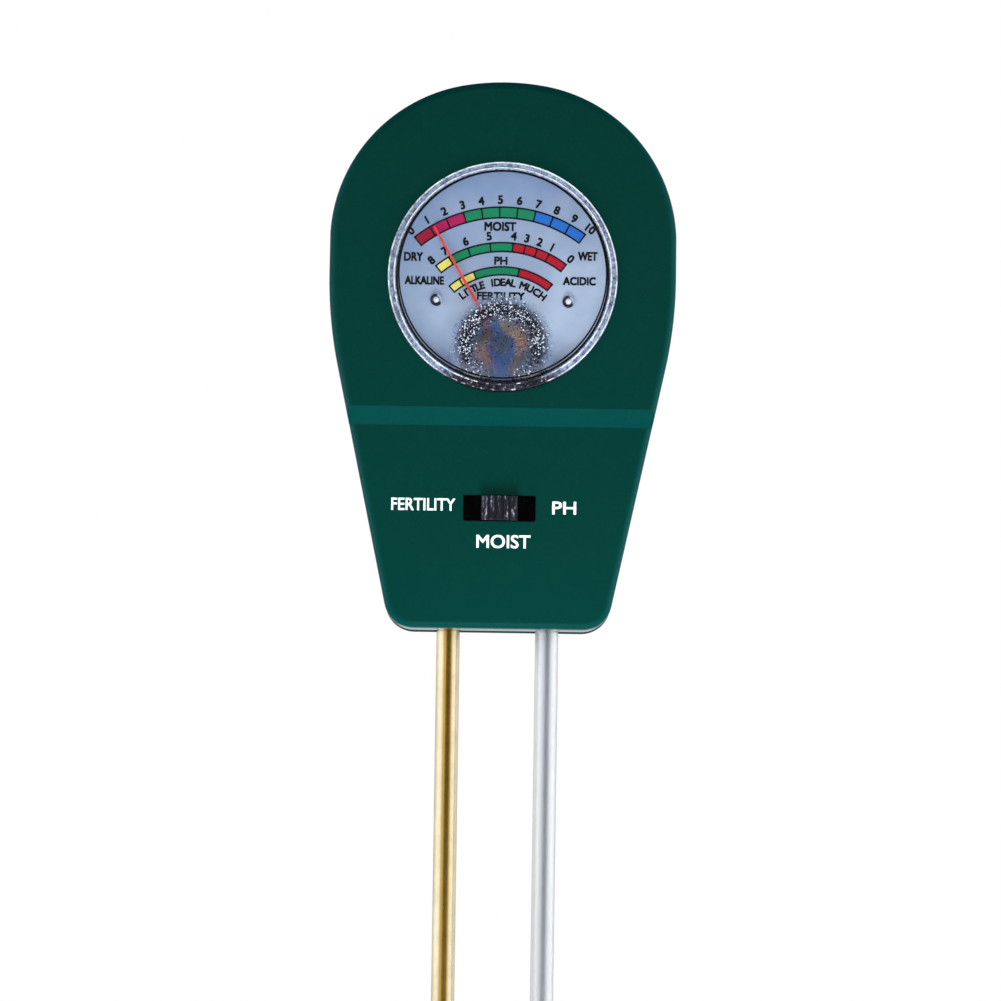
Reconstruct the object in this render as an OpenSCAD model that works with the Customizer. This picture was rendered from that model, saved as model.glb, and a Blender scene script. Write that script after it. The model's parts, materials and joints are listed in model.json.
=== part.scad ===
// Three-in-one soil meter: a hand-held case with a moving-coil dial, a
// three-position selector switch and two probes of different metals.
// Millimetres. +Z is up, the dial faces -Y, and the origin lies midway between
// the two probe axes, in the plane of the housing's underside.

/* [Housing] */
// Widest part of the head, across the dial
head_w = 65; // [64:0.5:67]
// Height of the head above the probes
head_h = 102.6; // [101.4:0.2:104.4]
// Depth of the raised dial face in front of the parting plane
raised_face = 14; // [13.8:0.1:15]
// How far the switch face lies behind the dial face
face_step = 3; // [2.6:0.1:3.2]
// Depth of the rear shell behind the parting plane
rear_depth = 14; // [14:0.5:18]
// Thickness of the shell walls
wall = 2; // [1.8:0.1:2]
// Width of the rounded edge round the front faces
edge_bevel = 1.6; // [1:0.1:1.8]

/* [Dial] */
// Height of the centre of the lens
lens_z = 65.8; // [65.4:0.1:66.4]
// Outer radius of the clear lens
lens_r = 21.5; // [21:0.1:21.8]
// Height of the pointer's pivot
pivot_z = 52.8; // [52.6:0.1:53.2]
// Pivot to pointer tip
pointer_len = 26.2; // [24:0.1:26.4]
// Pointer angle at rest, clockwise from upright, at the "one" mark
rest_angle = -30; // [-37:1:37]

/* [Switch] */
// Height of the switch's centre
switch_z = 22.6; // [22.2:0.1:23]
// Length of the slot that the knob slides in
slot_len = 13.6; // [13.4:0.1:14]
// Height of the slot
slot_h = 4.9; // [4.7:0.1:5.1]
// Width of the knob
knob_w = 6.8; // [6:0.1:7]
// Knob travel each way from the middle
knob_travel = 3.2; // [2.5:0.1:3.2]

/* [Probes] */
// Distance between the two probe axes
probe_pitch = 18.6; // [18:0.1:19]
// Radius of a probe
probe_r = 2.2; // [2:0.1:2.3]
// Length of a probe below the housing
probe_len = 180; // [120:5:220]

/* [Hidden] */
$fn = 64;
EPS = 0.01;
gap = 0.05; // air between neighbouring pieces that are clamped or glued
running = 0.1; // radial clearance of the pivots

// Outline of the head: tilted straight sides, a broad arc into the widest part,
// a tighter arc over each shoulder and a short flatter arc across the top.
half_w = head_w / 2;
side_tilt = 12;
corner_r = 5.6;
side_arc_r = 81;
side_arc_z = 65.8;
shoulder_x = 2.4;
shoulder_r = half_w - shoulder_x;
shoulder_end = 80;
top_r = shoulder_r + shoulder_x / cos(shoulder_end);
top_z = head_h - top_r;
shoulder_z = top_z + shoulder_x * tan(shoulder_end);
side_x = half_w - side_arc_r + side_arc_r * cos(side_tilt);
side_z = side_arc_z - side_arc_r * sin(side_tilt);
corner_x = side_x - (side_z - corner_r) * tan(side_tilt) - corner_r / cos(side_tilt);

// Housing depths; a front depth counts towards -Y from the parting plane
lower_face = raised_face - face_step;
ramp_lo = 38;
ramp_hi = 41.3;
rear_round = 4;
lap_h = 1.2;
lap_in = 0.95;
screw_spots = [[0, 95.4], [-14.6, 13.1], [14.6, 13.1]];
shell_screw_r = 1.3;
screw_post_r = 3;
screw_seat = 8;
screw_well_r = 3.05;
well_wall = 1.25;
movement_spots = [[-21, 43.6], [21, 43.6]];
board_spots = [[-14.5, 27.6], [14.5, 27.6]];
rib_z = 5.4;
rib_t = 1.6;
rib_w = head_w - 30;
pilot = 0.02; // radial room round a screw in its pilot hole

// Lens and dial
lens_front = raised_face + 2.4;
lens_t = 1.5;
lens_wall = 1.5;
flange_r = lens_r + 2;
flange_back = raised_face - wall - 1.2;
dial_front = flange_back - 0.2;
dial_t = 0.4;
dial_r = flange_r - 1.1;
cutout_r = 8.8;
dial_spots = [[-12.4, 61.6], [12.4, 61.6]];
rivet_r = 0.68;
rivet_head_r = 1.15;
rivet_hole_r = 0.3;
rivet_len = 4;

// Movement, with depths along Y
ring_r = 8.4;
ring_in = 6.6;
core_r = 4.2;
core_y = [-4, 3];
frame_r = 10;
plate_y = [7.6, 9.4];
bar_y = [-1, 1];
bridge_y = [-dial_front, 1.4 - dial_front];
bridge_reach = 10.15;
bridge_post_r = 1.7;
bridge_end_r = 1.75;
bridge_hub_r = 2.7;
bridge_screw_r = 0.8;
bridge_head_r = 1.35;
bridge_sink = 0.7;
jewel_bore_r = 1.17;
anchor_r = 0.5;
ear_screw_r = 0.9;
board_screw_r = 0.95;
coil_out = [5.9, 5.35];
coil_front = 6.35;
coil_t = 0.9;
coil_w = 4;
former_t = 0.25;
staff_r = 0.9;
pin_r = 0.35;
jewel_r = 1.15;
cup_y = [-9.1, 7.2];
hub_y = [-7.9, -7.45];
arm_y = [-11.9, -11.6];
spring_y = [-8.95, -8.65];
rear_spring_y = [6.2, 6.5];
spring_r = 1;
front_spring_r = 4;
rear_spring_r = 3.7;
anchor_x = 4.4;
spring_turns = 3;
spring_t = 0.14;
lever_y = [-11.3, -10.65];
lever_angle = -18;
hub_r = 1.9;
balance_wire_r = 0.2;
tail_weight = [1, 1.1, 2.6]; // radius, length and place along the wire
side_weight = [0.55, 1, 2.4];

// Switch and circuit board
switch_back = lower_face - wall;
frame_size = [20, 7.6];
sheet = 0.4;
base_y = [-4, -3];
clip_y = [-5.55, -4.35];
terminal_x = [for (i = [-1.5:1.5]) i * knob_travel];
terminal_z = 2;
board_y = [-0.5, 1.1];
board_size = [35, 14.7];
board_z = 16.4;
resistor_x = [-11, 0, 11];
resistor_z = 18.8;
resistor_reach = 4.3;
resistor_wire_r = 0.3;

// Probes inside the housing
probe_top = 10;
collar_r = 3.3;
neck_r = probe_r - 0.25;
tip_l = 9;
lug_y = 6.5;
terminal_screw_r = 1.2;
eye_t = 0.5;
wire_r = 0.6;
wire_bend_r = 2.5;
meter_lead_z = 29.2;
probe_lead_z = 22.6;

// ---------- shared shapes ----------

// The two ends of a span of the given length about a middle
function about(middle, length) = [middle - length / 2, middle + length / 2];

function arc(x, z, r, from, to, steps) =
    [for (i = [0:steps]) let (a = from + (to - from) * i / steps) [x + r * cos(a), z + r * sin(a)]];

function half_outline(inset) = concat(
    arc(corner_x, corner_r, corner_r - inset, -90, -side_tilt, 6),
    arc(half_w - side_arc_r, side_arc_z, side_arc_r - inset, -side_tilt, 0, 7),
    arc(shoulder_x, shoulder_z, shoulder_r - inset, 0, shoulder_end, 15),
    arc(0, top_z, top_r - inset, shoulder_end + 5, 86, 1)
);

// The head's outline, moved in by inset
module outline(inset = 0) {
    right = half_outline(inset);
    n = len(right);
    left = [for (i = [0:n - 1]) [-right[n - 1 - i][0], right[n - 1 - i][1]]];
    polygon(concat(right, [[0, head_h - inset]], left));
}

// Extrudes a shape drawn in X and Z from depth y0 to y1
module slab(y0, y1) {
    translate([0, y1, 0]) rotate([90, 0, 0]) linear_extrude(y1 - y0) children();
}

// Extrudes a shape drawn in Y and Z across the whole width
module across() {
    translate([-head_w, 0, 0]) rotate([90, 0, 90]) linear_extrude(2 * head_w) children();
}

module rod(r, y0, y1, at = [0, 0]) {
    translate([at[0], y1, at[1]]) rotate([90, 0, 0]) cylinder(r = r, h = y1 - y0);
}

module tube(r_out, r_in, y0, y1, at = [0, 0]) {
    difference() {
        rod(r_out, y0, y1, at);
        rod(r_in, y0 - EPS, y1 + EPS, at);
    }
}

module block(x, y, z) {
    translate([x[0], y[0], z[0]]) cube([x[1] - x[0], y[1] - y[0], z[1] - z[0]]);
}

module both_sides() {
    children();
    mirror([1, 0, 0]) children();
}

module at_pivot(angle = 0) {
    translate([0, 0, pivot_z]) rotate([0, angle, 0]) children();
}

// Turns a piece whose head points up to face the back or the front
module facing_back(at, y) {
    translate([at[0], y, at[1]]) rotate([-90, 0, 0]) children();
}

module facing_front(at, y) {
    translate([at[0], y, at[1]]) rotate([90, 0, 0]) children();
}

// Domed head on top of z = 0, shank below it, cross recess in the head
module pan_screw(head_r, head_t, shank_r, shank_l) {
    recess = head_r * 1.2;
    difference() {
        union() {
            rotate_extrude() polygon(concat(
                [[0, 0], [head_r, 0]],
                [for (a = [0:15:90]) [head_r * (0.55 + 0.45 * cos(a)), head_t * (0.45 + 0.55 * sin(a))]],
                [[0, head_t]]
            ));
            translate([0, 0, -shank_l + shank_r]) cylinder(r = shank_r, h = shank_l - shank_r);
            translate([0, 0, -shank_l]) cylinder(r1 = shank_r * 0.3, r2 = shank_r, h = shank_r);
        }
        for (turn = [0, 90]) rotate(turn)
            translate([-recess / 2, -recess / 8, head_t * 0.45]) cube([recess, recess / 4, head_t]);
    }
}

// A lead that leaves the board square, bends once, and runs straight up or down to its end
module lead(x, from, run_y, end_z) {
    out = abs(run_y - from[0]) - wire_bend_r;
    translate([x, from[0], from[1]])
        mirror([0, run_y < from[0] ? 1 : 0, 0]) mirror([0, 0, end_z < from[1] ? 1 : 0]) {
            rotate([-90, 0, 0]) cylinder(r = wire_r, h = out);
            translate([0, out, wire_bend_r]) rotate([90, 0, 90]) rotate([0, 0, -90])
                rotate_extrude(angle = 90) translate([wire_bend_r, 0]) circle(r = wire_r);
            translate([0, out + wire_bend_r, wire_bend_r])
                cylinder(r = wire_r, h = abs(end_z - from[1]) - wire_bend_r);
        }
}

// Flat spiral strip that winds out from the staff, three turns to its outer radius
module spiral(y, outer_r, start) {
    steps = 24 * spring_turns;
    side = function (off) [for (i = [0:steps])
        let (a = start + 360 * spring_turns * i / steps,
             r = spring_r + (outer_r - spring_r) * i / steps + off)
        [r * cos(a), r * sin(a)]];
    inner = side(0);
    outer = side(spring_t);
    slab(y[0], y[1]) polygon(concat(inner, [for (i = [steps:-1:0]) outer[i]]));
}

// ---------- housing ----------

// Solid behind one of the two front faces, with its rounded edge
module face_block(depth) {
    slab(edge_bevel - depth, 0) outline();
    hull() {
        slab(edge_bevel - depth, edge_bevel - depth + EPS) outline();
        slab(edge_bevel * 0.3 - depth, edge_bevel * 0.3 - depth + EPS) outline(edge_bevel * 0.3);
        slab(-depth, EPS - depth) outline(edge_bevel);
    }
}

// Everything above the sloping band between the two faces, moved in by inset
module above_ramp(inset = 0) {
    slope = norm([face_step, ramp_hi - ramp_lo]);
    dy = inset * (ramp_hi - ramp_lo) / slope;
    dz = inset * face_step / slope;
    across() polygon([
        [EPS, ramp_lo + dz], [dy - lower_face, ramp_lo + dz], [dy - raised_face, ramp_hi + dz],
        [-lens_front, ramp_hi + dz + (lens_front - raised_face + dy) * (ramp_hi - ramp_lo) / face_step],
        [-lens_front, head_h + 1], [EPS, head_h + 1]
    ]);
}

module probe_notches(y0, y1) {
    both_sides() translate([probe_pitch / 2, 0, -1]) intersection() {
        cylinder(r = probe_r + gap, h = rib_z + rib_t + 2);
        translate([-collar_r, y0, 0]) cube([2 * collar_r, y1 - y0, rib_z + rib_t + 2]);
    }
}

module lap_ring(inset, y0, y1) {
    slab(y0, y1) difference() {
        outline(inset);
        outline(wall);
    }
}

module front_shell() {
    inner_low = wall - lower_face;
    inner_high = wall - raised_face;
    guide_x = frame_size[0] / 2 + 2 * gap;
    color("#0a4a40") difference() {
        union() {
            difference() {
                union() {
                    face_block(lower_face);
                    intersection() {
                        face_block(raised_face);
                        above_ramp();
                    }
                }
                slab(inner_low, 1) outline(wall);
                intersection() {
                    slab(inner_high, EPS) outline(wall);
                    above_ramp(wall);
                }
            }
            rod(screw_post_r, inner_high - EPS, 0, screw_spots[0]);
            for (i = [1, 2]) rod(screw_post_r, inner_low - EPS, 0, screw_spots[i]);
            for (spot = movement_spots) rod(2.6, inner_high - EPS, bar_y[0] - gap, spot);
            for (spot = board_spots) rod(2.4, inner_low - EPS, board_y[0] - gap, spot);
            both_sides()
                block([guide_x, guide_x + 1.2], [inner_low - EPS, inner_low + 3], about(switch_z, 4));
            block(about(0, rib_w), [inner_low - EPS, 0], [rib_z, rib_z + rib_t]);
        }
        lap_ring(lap_in, -lap_h, 1);
        probe_notches(-lower_face, 1);
        for (spot = screw_spots) rod(shell_screw_r + pilot, -screw_seat, 1, spot);
        for (spot = movement_spots) rod(ear_screw_r + pilot, -8, 0, spot);
        for (spot = board_spots) rod(board_screw_r + pilot, -7, 0, spot);
        rod(lens_r + gap, -lens_front, 0.5 - lower_face, [0, lens_z]);
        block(about(0, slot_len), [-lens_front, inner_low + EPS], about(switch_z, slot_h));
    }
}

module rear_shell() {
    color("#0a4a40") difference() {
        union() {
            difference() {
                union() {
                    slab(0, rear_depth - rear_round) outline();
                    hull() {
                        slab(rear_depth - rear_round - EPS, rear_depth - rear_round) outline();
                        slab(rear_depth - rear_round * 0.3, rear_depth - rear_round * 0.3 + EPS)
                            outline(rear_round * 0.3);
                        slab(rear_depth - EPS, rear_depth) outline(rear_round);
                    }
                }
                slab(-1, rear_depth - rear_round - 1) outline(wall);
                hull() {
                    slab(rear_depth - rear_round - 1 - EPS, rear_depth - rear_round - 1) outline(wall);
                    slab(rear_depth - wall - EPS, rear_depth - wall) outline(wall + rear_round - 1);
                }
            }
            lap_ring(lap_in + 0.1, 0.1 - lap_h, EPS);
            for (spot = screw_spots) {
                rod(screw_post_r + 0.1, 0, rear_depth - wall, spot);
                rod(screw_well_r + well_wall, screw_seat - wall, rear_depth - wall + EPS, spot);
            }
            block(about(0, rib_w), [gap, rear_depth - 3], [rib_z, rib_z + rib_t]);
        }
        probe_notches(-2, 4);
        for (spot = screw_spots) {
            rod(shell_screw_r + 0.3, -1, rear_depth, spot);
            rod(screw_well_r, screw_seat, rear_depth + 1, spot);
        }
    }
}

module shell_screws() {
    color("#c9ccd0")
        for (spot = screw_spots) facing_back(spot, screw_seat + gap)
            pan_screw(head_r = 2.7, head_t = 1.9, shank_r = shell_screw_r, shank_l = 15);
}

// Flat-topped cap with a stepped rim, and a flange that holds it behind the shell
module lens() {
    inner_r = lens_r - lens_wall;
    inner_front = lens_front - lens_t;
    color("#dfe8f5", 0.35) facing_front([0, lens_z], 0) rotate_extrude($fn = 128) polygon([
        [0, inner_front], [inner_r, inner_front], [inner_r, flange_back],
        [flange_r, flange_back], [flange_r, raised_face - wall - gap],
        [lens_r, raised_face - wall - gap], [lens_r, lens_front - 0.9],
        [lens_r - 0.4, lens_front - 0.5], [inner_r, lens_front - 0.3], [inner_r - 0.3, lens_front],
        [0, lens_front]
    ]);
}

// ---------- dial and movement ----------

module dial_plate() {
    color("#b4c1dc") slab(-dial_front, dial_t - dial_front) difference() {
        translate([0, lens_z]) circle(r = dial_r, $fn = 128);
        translate([0, pivot_z]) circle(r = cutout_r);
        translate([-cutout_r, 0]) square([2 * cutout_r, pivot_z]);
        for (spot = dial_spots) translate(spot) circle(r = 0.75);
    }
}

// Tubular rivets with a rounded head
module dial_rivets() {
    color("#c9ccd0") for (spot = dial_spots) facing_front(spot, -dial_front - gap) rotate_extrude()
        polygon(concat(
            [[rivet_hole_r, -rivet_len], [rivet_r, -rivet_len], [rivet_r, 0], [rivet_head_r, 0]],
            [for (a = [0:30:150]) [rivet_head_r - 0.3 + 0.3 * cos(a), 0.25 + 0.45 * sin(a)]],
            [[rivet_hole_r, 0.3]]
        ));
}

// Black moulding that carries the ring, the dial posts, the bridge post and the ears
module movement_frame() {
    pivot = [0, pivot_z];
    bridge_spot = [0, pivot_z - bridge_reach];
    ear_x = movement_spots[1][0] + 2.6;
    ear_z = movement_spots[1][1];
    post_r = 2.1;
    bar_h = 5.2;
    color("#26282b") difference() {
        union() {
            rod(frame_r, bar_y[0], plate_y[1], pivot);
            block([-ear_x, ear_x], bar_y, about(ear_z, bar_h));
            block(about(0, 2 * (dial_spots[1][0] + post_r)), bar_y, about(dial_spots[0][1], bar_h));
            for (spot = dial_spots) rod(post_r, dial_t + gap - dial_front, bar_y[1], spot);
            rod(bridge_post_r, bridge_y[1] + gap, bar_y[1], bridge_spot);
        }
        rod(ring_r + gap, bar_y[0] - 1, core_y[1] + gap, pivot);
        rod(ring_r - 1, 0, plate_y[0], pivot);
        rod(jewel_bore_r, 0, plate_y[1] + 1, pivot);
        rod(anchor_r + pilot, 0, plate_y[1] + 1, [anchor_x, pivot_z]);
        for (spot = dial_spots) rod(rivet_r + pilot, -dial_front, -4, spot);
        for (spot = movement_spots) rod(ear_screw_r + 0.2, -2, 2, spot);
        rod(bridge_screw_r + pilot, bridge_y[1], -4, bridge_spot);
    }
}

module movement_screws() {
    color("#c9ccd0") for (spot = movement_spots)
        facing_back(spot, bar_y[1] + gap)
            pan_screw(head_r = 1.9, head_t = 1.3, shank_r = ear_screw_r, shank_l = 7);
}

module yoke_ring() {
    color("#7d8288") tube(ring_r, ring_in, core_y[0], core_y[1], [0, pivot_z]);
}

module core_magnet() {
    color("#4a4d52") rod(core_r, core_y[0], core_y[1], [0, pivot_z]);
}

// Collar on the ring's face, with two ribs that hold the magnet clear of the coil
module core_support() {
    front = core_y[0] - 0.95;
    back = core_y[0] - gap;
    color("#e6e3da") at_pivot() {
        tube(ring_r, ring_in + 0.1, front, back);
        intersection() {
            for (turn = [0, 180]) rotate([0, turn, 0]) {
                block(about(0, 3), [front, core_y[1]], [core_r + gap, ring_in]);
                block(about(0, 3), [front, back], [ring_in - 1, ring_in + 0.5]);
            }
            union() {
                rod(ring_in - gap, front, core_y[1]);
                rod(ring_r, front, back);
            }
        }
    }
}

// Blue bracket on its post, that holds the front jewel screw
module front_bridge() {
    color("#1f4fa8") at_pivot(180) difference() {
        union() {
            rod(bridge_hub_r, bridge_y[0], bridge_y[1]);
            rod(bridge_end_r, bridge_y[0], bridge_y[1], [0, bridge_reach]);
            block(about(0, 2 * bridge_end_r), bridge_y, [0, bridge_reach]);
        }
        rod(jewel_bore_r, bridge_y[0] - 1, bridge_y[1] + 1);
        rod(bridge_screw_r + 0.1, bridge_y[0] - 1, bridge_y[1] + 1, [0, bridge_reach]);
        rod(bridge_head_r + 0.1, bridge_y[0] - 1, bridge_y[0] + bridge_sink, [0, bridge_reach]);
    }
}

module bridge_screw() {
    seat = bridge_y[0] + bridge_sink - gap;
    color("#c9ccd0") facing_front([0, pivot_z - bridge_reach], seat)
        pan_screw(bridge_head_r, head_t = 0.6, shank_r = bridge_screw_r, shank_l = 4);
}

// Slotted screw whose head stands on z = 0, with the cup that the pivot pin turns in at its tip
module jewel_screw(body_l) {
    head_r = 1.8;
    head_t = 0.8;
    cup_l = 1.2;
    slot_w = 0.4;
    slot_depth = 0.5;
    difference() {
        union() {
            translate([0, 0, -body_l]) cylinder(r = jewel_r, h = body_l + EPS);
            cylinder(r = head_r, h = head_t);
        }
        translate([0, 0, -body_l - EPS]) cylinder(r = pin_r + running, h = cup_l + EPS);
        translate([-slot_w / 2, -head_r - 1, head_t - slot_depth]) cube([slot_w, 2 * head_r + 2, 1]);
    }
}

module front_jewel_screw() {
    seat = lever_y[0] - gap;
    color("#a0a4aa") facing_front([0, pivot_z], seat) jewel_screw(cup_y[0] - seat);
}

module rear_jewel_screw() {
    seat = plate_y[1] + gap;
    color("#a0a4aa") facing_back([0, pivot_z], seat) jewel_screw(seat - cup_y[1]);
}

module rear_spring_anchor() {
    color("#c8a24a") rod(anchor_r, rear_spring_y[0] - 0.1, plate_y[1] + 0.8, [anchor_x, pivot_z]);
}

module rear_hairspring() {
    color("#d9b45a") at_pivot() spiral(rear_spring_y, rear_spring_r, 0);
}

module front_hairspring() {
    color("#d9b45a") at_pivot(lever_angle) spiral(spring_y, front_spring_r, 90);
}

// Arm that turns about the jewel screw and holds the hairspring's outer end
module zero_adjust_lever() {
    color("#2a5fc0") at_pivot(lever_angle) difference() {
        union() {
            rod(2.4, lever_y[0], lever_y[1]);
            block([-0.9, 0.9], lever_y, [0, 5.6]);
            block([-0.9, 0.9], [lever_y[0], spring_y[1]], [front_spring_r + spring_t + gap, 5.1]);
        }
        rod(jewel_bore_r, lever_y[0] - 1, lever_y[1] + 1);
        block([-0.35, 0.35], lever_y + [-1, 0.01], [5, 6]);
    }
}

// A rectangular frame about the pivot: half width and rear depth outside, and its thickness
module coil_loop(half_x, rear, front, t, w) {
    difference() {
        block([-half_x, half_x], [-front, rear], [-w / 2, w / 2]);
        block([t - half_x, half_x - t], [t - front, rear - t], [-w, w]);
    }
}

module coil_winding() {
    color("#b8602c") at_pivot(rest_angle)
        coil_loop(coil_out[0], coil_out[1], coil_front, coil_t, coil_w);
}

module coil_former() {
    inset = coil_t + gap;
    color("#c9ccd0") at_pivot(rest_angle)
        coil_loop(coil_out[0] - inset, coil_out[1] - inset, coil_front - inset, former_t, coil_w + 0.6);
}

module front_staff() {
    face = -coil_front - gap;
    color("#8d9299") at_pivot(rest_angle) {
        rod(1.4, face - 0.45, face);
        rod(staff_r, -8.9, face - 0.4);
        rod(pin_r, -10.2, -8.8);
    }
}

module rear_staff() {
    face = coil_out[1] + gap;
    color("#8d9299") at_pivot(rest_angle) {
        rod(1.4, face, face + 0.45);
        rod(staff_r, face + 0.4, 7);
        rod(pin_r, 6.9, 8.2);
    }
}

// Hub and low arm, a riser past the dial's cut-out, the tapered blade over the dial, and three
// balance wires: a long one opposite the blade and a short one to each side
module pointer() {
    riser = [6.3, 6.9];
    blade = [0.28, 0.18];
    color("#e8503a") at_pivot(rest_angle) {
        tube(hub_r, staff_r + 0.02, hub_y[0], hub_y[1]);
        block(about(0, 1), hub_y, [hub_r - 0.2, riser[1]]);
        block([-blade[0], blade[0]], [arm_y[0], hub_y[1]], riser);
        slab(arm_y[0], arm_y[1]) polygon([
            [-blade[0], riser[0]], [blade[0], riser[0]],
            [blade[1], pointer_len - 0.4], [0, pointer_len], [-blade[1], pointer_len - 0.4]
        ]);
        balance_wires() cylinder(r = balance_wire_r, h = $wire_l);
    }
}

// Places its children at the start of each balance wire, pointing outwards
module balance_wires() {
    middle_y = (hub_y[0] + hub_y[1]) / 2;
    for (turn = [90, 180, 270]) rotate([0, turn, 0]) translate([0, middle_y, hub_r - 0.2]) {
        $wire_l = turn == 180 ? 5 : 3.6;
        $weight = turn == 180 ? tail_weight : side_weight;
        children();
    }
}

module balance_weights() {
    color("#b9bcc0") at_pivot(rest_angle) balance_wires() translate([0, 0, $weight[2]]) difference() {
        cylinder(r = $weight[0], h = $weight[1]);
        translate([0, 0, -1]) cylinder(r = balance_wire_r + 0.02, h = $weight[1] + 2);
    }
}

// ---------- switch and circuit board ----------

module switch_frame() {
    inner = frame_size - [2 * sheet, 2 * sheet];
    front = gap - switch_back;
    color("#b4b8bd") difference() {
        block(about(0, frame_size[0]), [front, base_y[1]], about(switch_z, frame_size[1]));
        block(about(0, inner[0]), [front + sheet, base_y[1] + 1], about(switch_z, inner[1]));
        block(about(0, slot_len), [front - 1, front + 1], about(switch_z, slot_h));
    }
}

module terminal_holes(w, t, y) {
    for (x = terminal_x, side = [-1, 1])
        block(about(x, w), y, about(switch_z + side * terminal_z, t));
}

module switch_base() {
    inset = 2 * (sheet + gap);
    color("#1d1c1e") difference() {
        block(about(0, frame_size[0] - inset), base_y, about(switch_z, frame_size[1] - inset));
        terminal_holes(1.1, 0.6, base_y + [-1, 1]);
    }
}

module switch_terminals() {
    color("#cfd2d6") terminal_holes(1, 0.5, [base_y[0] - 0.3, board_y[1] + 0.7]);
}

module switch_knob() {
    ribs = 5;
    pitch = 1.3;
    groove_w = 0.6;
    carrier_size = [9.6, 6.2];
    front = -lower_face - 1.9;
    stem_z = slot_h / 2 - 0.15;
    carrier_front = gap + sheet - switch_back + 0.1;
    color("#161719") difference() {
        union() {
            block(about(0, knob_w), [front, carrier_front + 1], about(switch_z, 2 * stem_z));
            block(about(0, carrier_size[0]), [carrier_front, clip_y[0] - gap],
                about(switch_z, carrier_size[1]));
        }
        for (i = [1:ribs - 1]) translate([(i - ribs / 2) * pitch, 0, 0])
            block(about(0, groove_w), [front - 1, front + 0.7], about(switch_z, carrier_size[1]));
    }
}

// Two spring clips carried under the knob, that bridge neighbouring terminals
module switch_contacts() {
    clip_t = 0.25;
    color("#d9b45a") for (side = [-1, 1]) translate([0, 0, switch_z + side * terminal_z]) difference() {
        block(about(0, 1.5 * knob_travel), clip_y, about(0, 1.2));
        block(about(0, 1.5 * knob_travel - 2 * clip_t), clip_y + [clip_t, -clip_t], about(0, 2));
    }
}

module circuit_board() {
    color("#9a6a34") difference() {
        block(about(0, board_size[0]), board_y, [board_z, board_z + board_size[1]]);
        terminal_holes(1.3, 0.8, board_y + [-1, 1]);
        for (spot = board_spots) rod(board_screw_r + 0.25, -2, 2, spot);
        for (x = resistor_x, side = [-1, 1])
            rod(resistor_wire_r + 0.1, -2, 2, [x + side * resistor_reach, resistor_z]);
    }
}

module board_screws() {
    color("#c9ccd0") for (spot = board_spots)
        facing_back(spot, board_y[1] + gap)
            pan_screw(head_r = 2, head_t = 1.3, shank_r = board_screw_r, shank_l = 7);
}

module resistors() {
    lift = 1.3;
    body_l = 6;
    color("#d8bf8e") for (x = resistor_x) translate([x, board_y[1] + lift, resistor_z]) {
        rotate([0, 90, 0]) {
            translate([0, 0, -body_l / 2]) cylinder(r = 1.1, h = body_l);
            translate([0, 0, -resistor_reach]) cylinder(r = resistor_wire_r, h = 2 * resistor_reach);
        }
        for (side = [-1, 1]) translate([side * resistor_reach, 0, 0]) {
            sphere(r = resistor_wire_r, $fn = 24);
            rotate([90, 0, 0]) cylinder(r = resistor_wire_r, h = 2 * lift);
        }
    }
}

// ---------- probes and leads ----------

// Pointed rod with a collar that the two shells trap, turned down inside the housing and tapped at
// its top end
module probe(side) {
    translate([side * probe_pitch / 2, 0, 0]) difference() {
        rotate_extrude() polygon([
            [0, -probe_len], [0.35, -probe_len], [0.6, 0.3 - probe_len],
            [probe_r - 0.15, tip_l - 0.5 - probe_len], [probe_r, tip_l - probe_len],
            [probe_r, -0.1], [neck_r, -0.1],
            [neck_r, wall + 0.1], [collar_r, wall + 0.1], [collar_r, rib_z - 0.1], [neck_r, rib_z - 0.1],
            [neck_r, probe_top - 0.3], [neck_r - 0.3, probe_top], [0, probe_top]
        ]);
        translate([0, 0, probe_top - 7]) cylinder(r = terminal_screw_r + pilot, h = 8);
    }
}

module brass_probe() {
    color("#caa24c") probe(-1);
}

module aluminium_probe() {
    color("#c3c6cc") probe(1);
}

// Ring terminals on the probes' top ends, each with a tab towards the back
module probe_terminals() {
    tab_w = 1.8;
    color("#cfd2d6") both_sides() translate([probe_pitch / 2, 0, probe_top + gap]) difference() {
        union() {
            cylinder(r = 2.1, h = eye_t);
            translate([-tab_w / 2, 0, 0]) cube([tab_w, lug_y - wire_r - 2 * gap, eye_t]);
        }
        translate([0, 0, -1]) cylinder(r = terminal_screw_r + 0.1, h = 3);
    }
}

module terminal_screws() {
    color("#c9ccd0") both_sides() translate([probe_pitch / 2, 0, probe_top + eye_t + 2 * gap])
        pan_screw(head_r = 2, head_t = 1.3, shank_r = terminal_screw_r, shank_l = 5);
}

// From the board's back down to the tab of a probe's ring terminal
module probe_lead(side) {
    lead(side * probe_pitch / 2, [board_y[1] + gap, probe_lead_z], lug_y, probe_top + 0.4);
}

module brass_probe_lead() {
    color("#b3261e") probe_lead(-1);
}

module aluminium_probe_lead() {
    color("#1b1b1d") probe_lead(1);
}

// From the board's front up to the foot of the front bridge
module front_meter_lead() {
    foot_z = pivot_z - bridge_reach - bridge_post_r - gap;
    color("#1b1b1d") lead(0, [board_y[0] - gap, meter_lead_z], -7.9, foot_z);
}

// From the board's back up to the rear hairspring's anchor
module rear_meter_lead() {
    color("#b3261e") lead(anchor_x, [board_y[1] + gap, meter_lead_z], plate_y[1] + 1.5, pivot_z);
}

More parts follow.
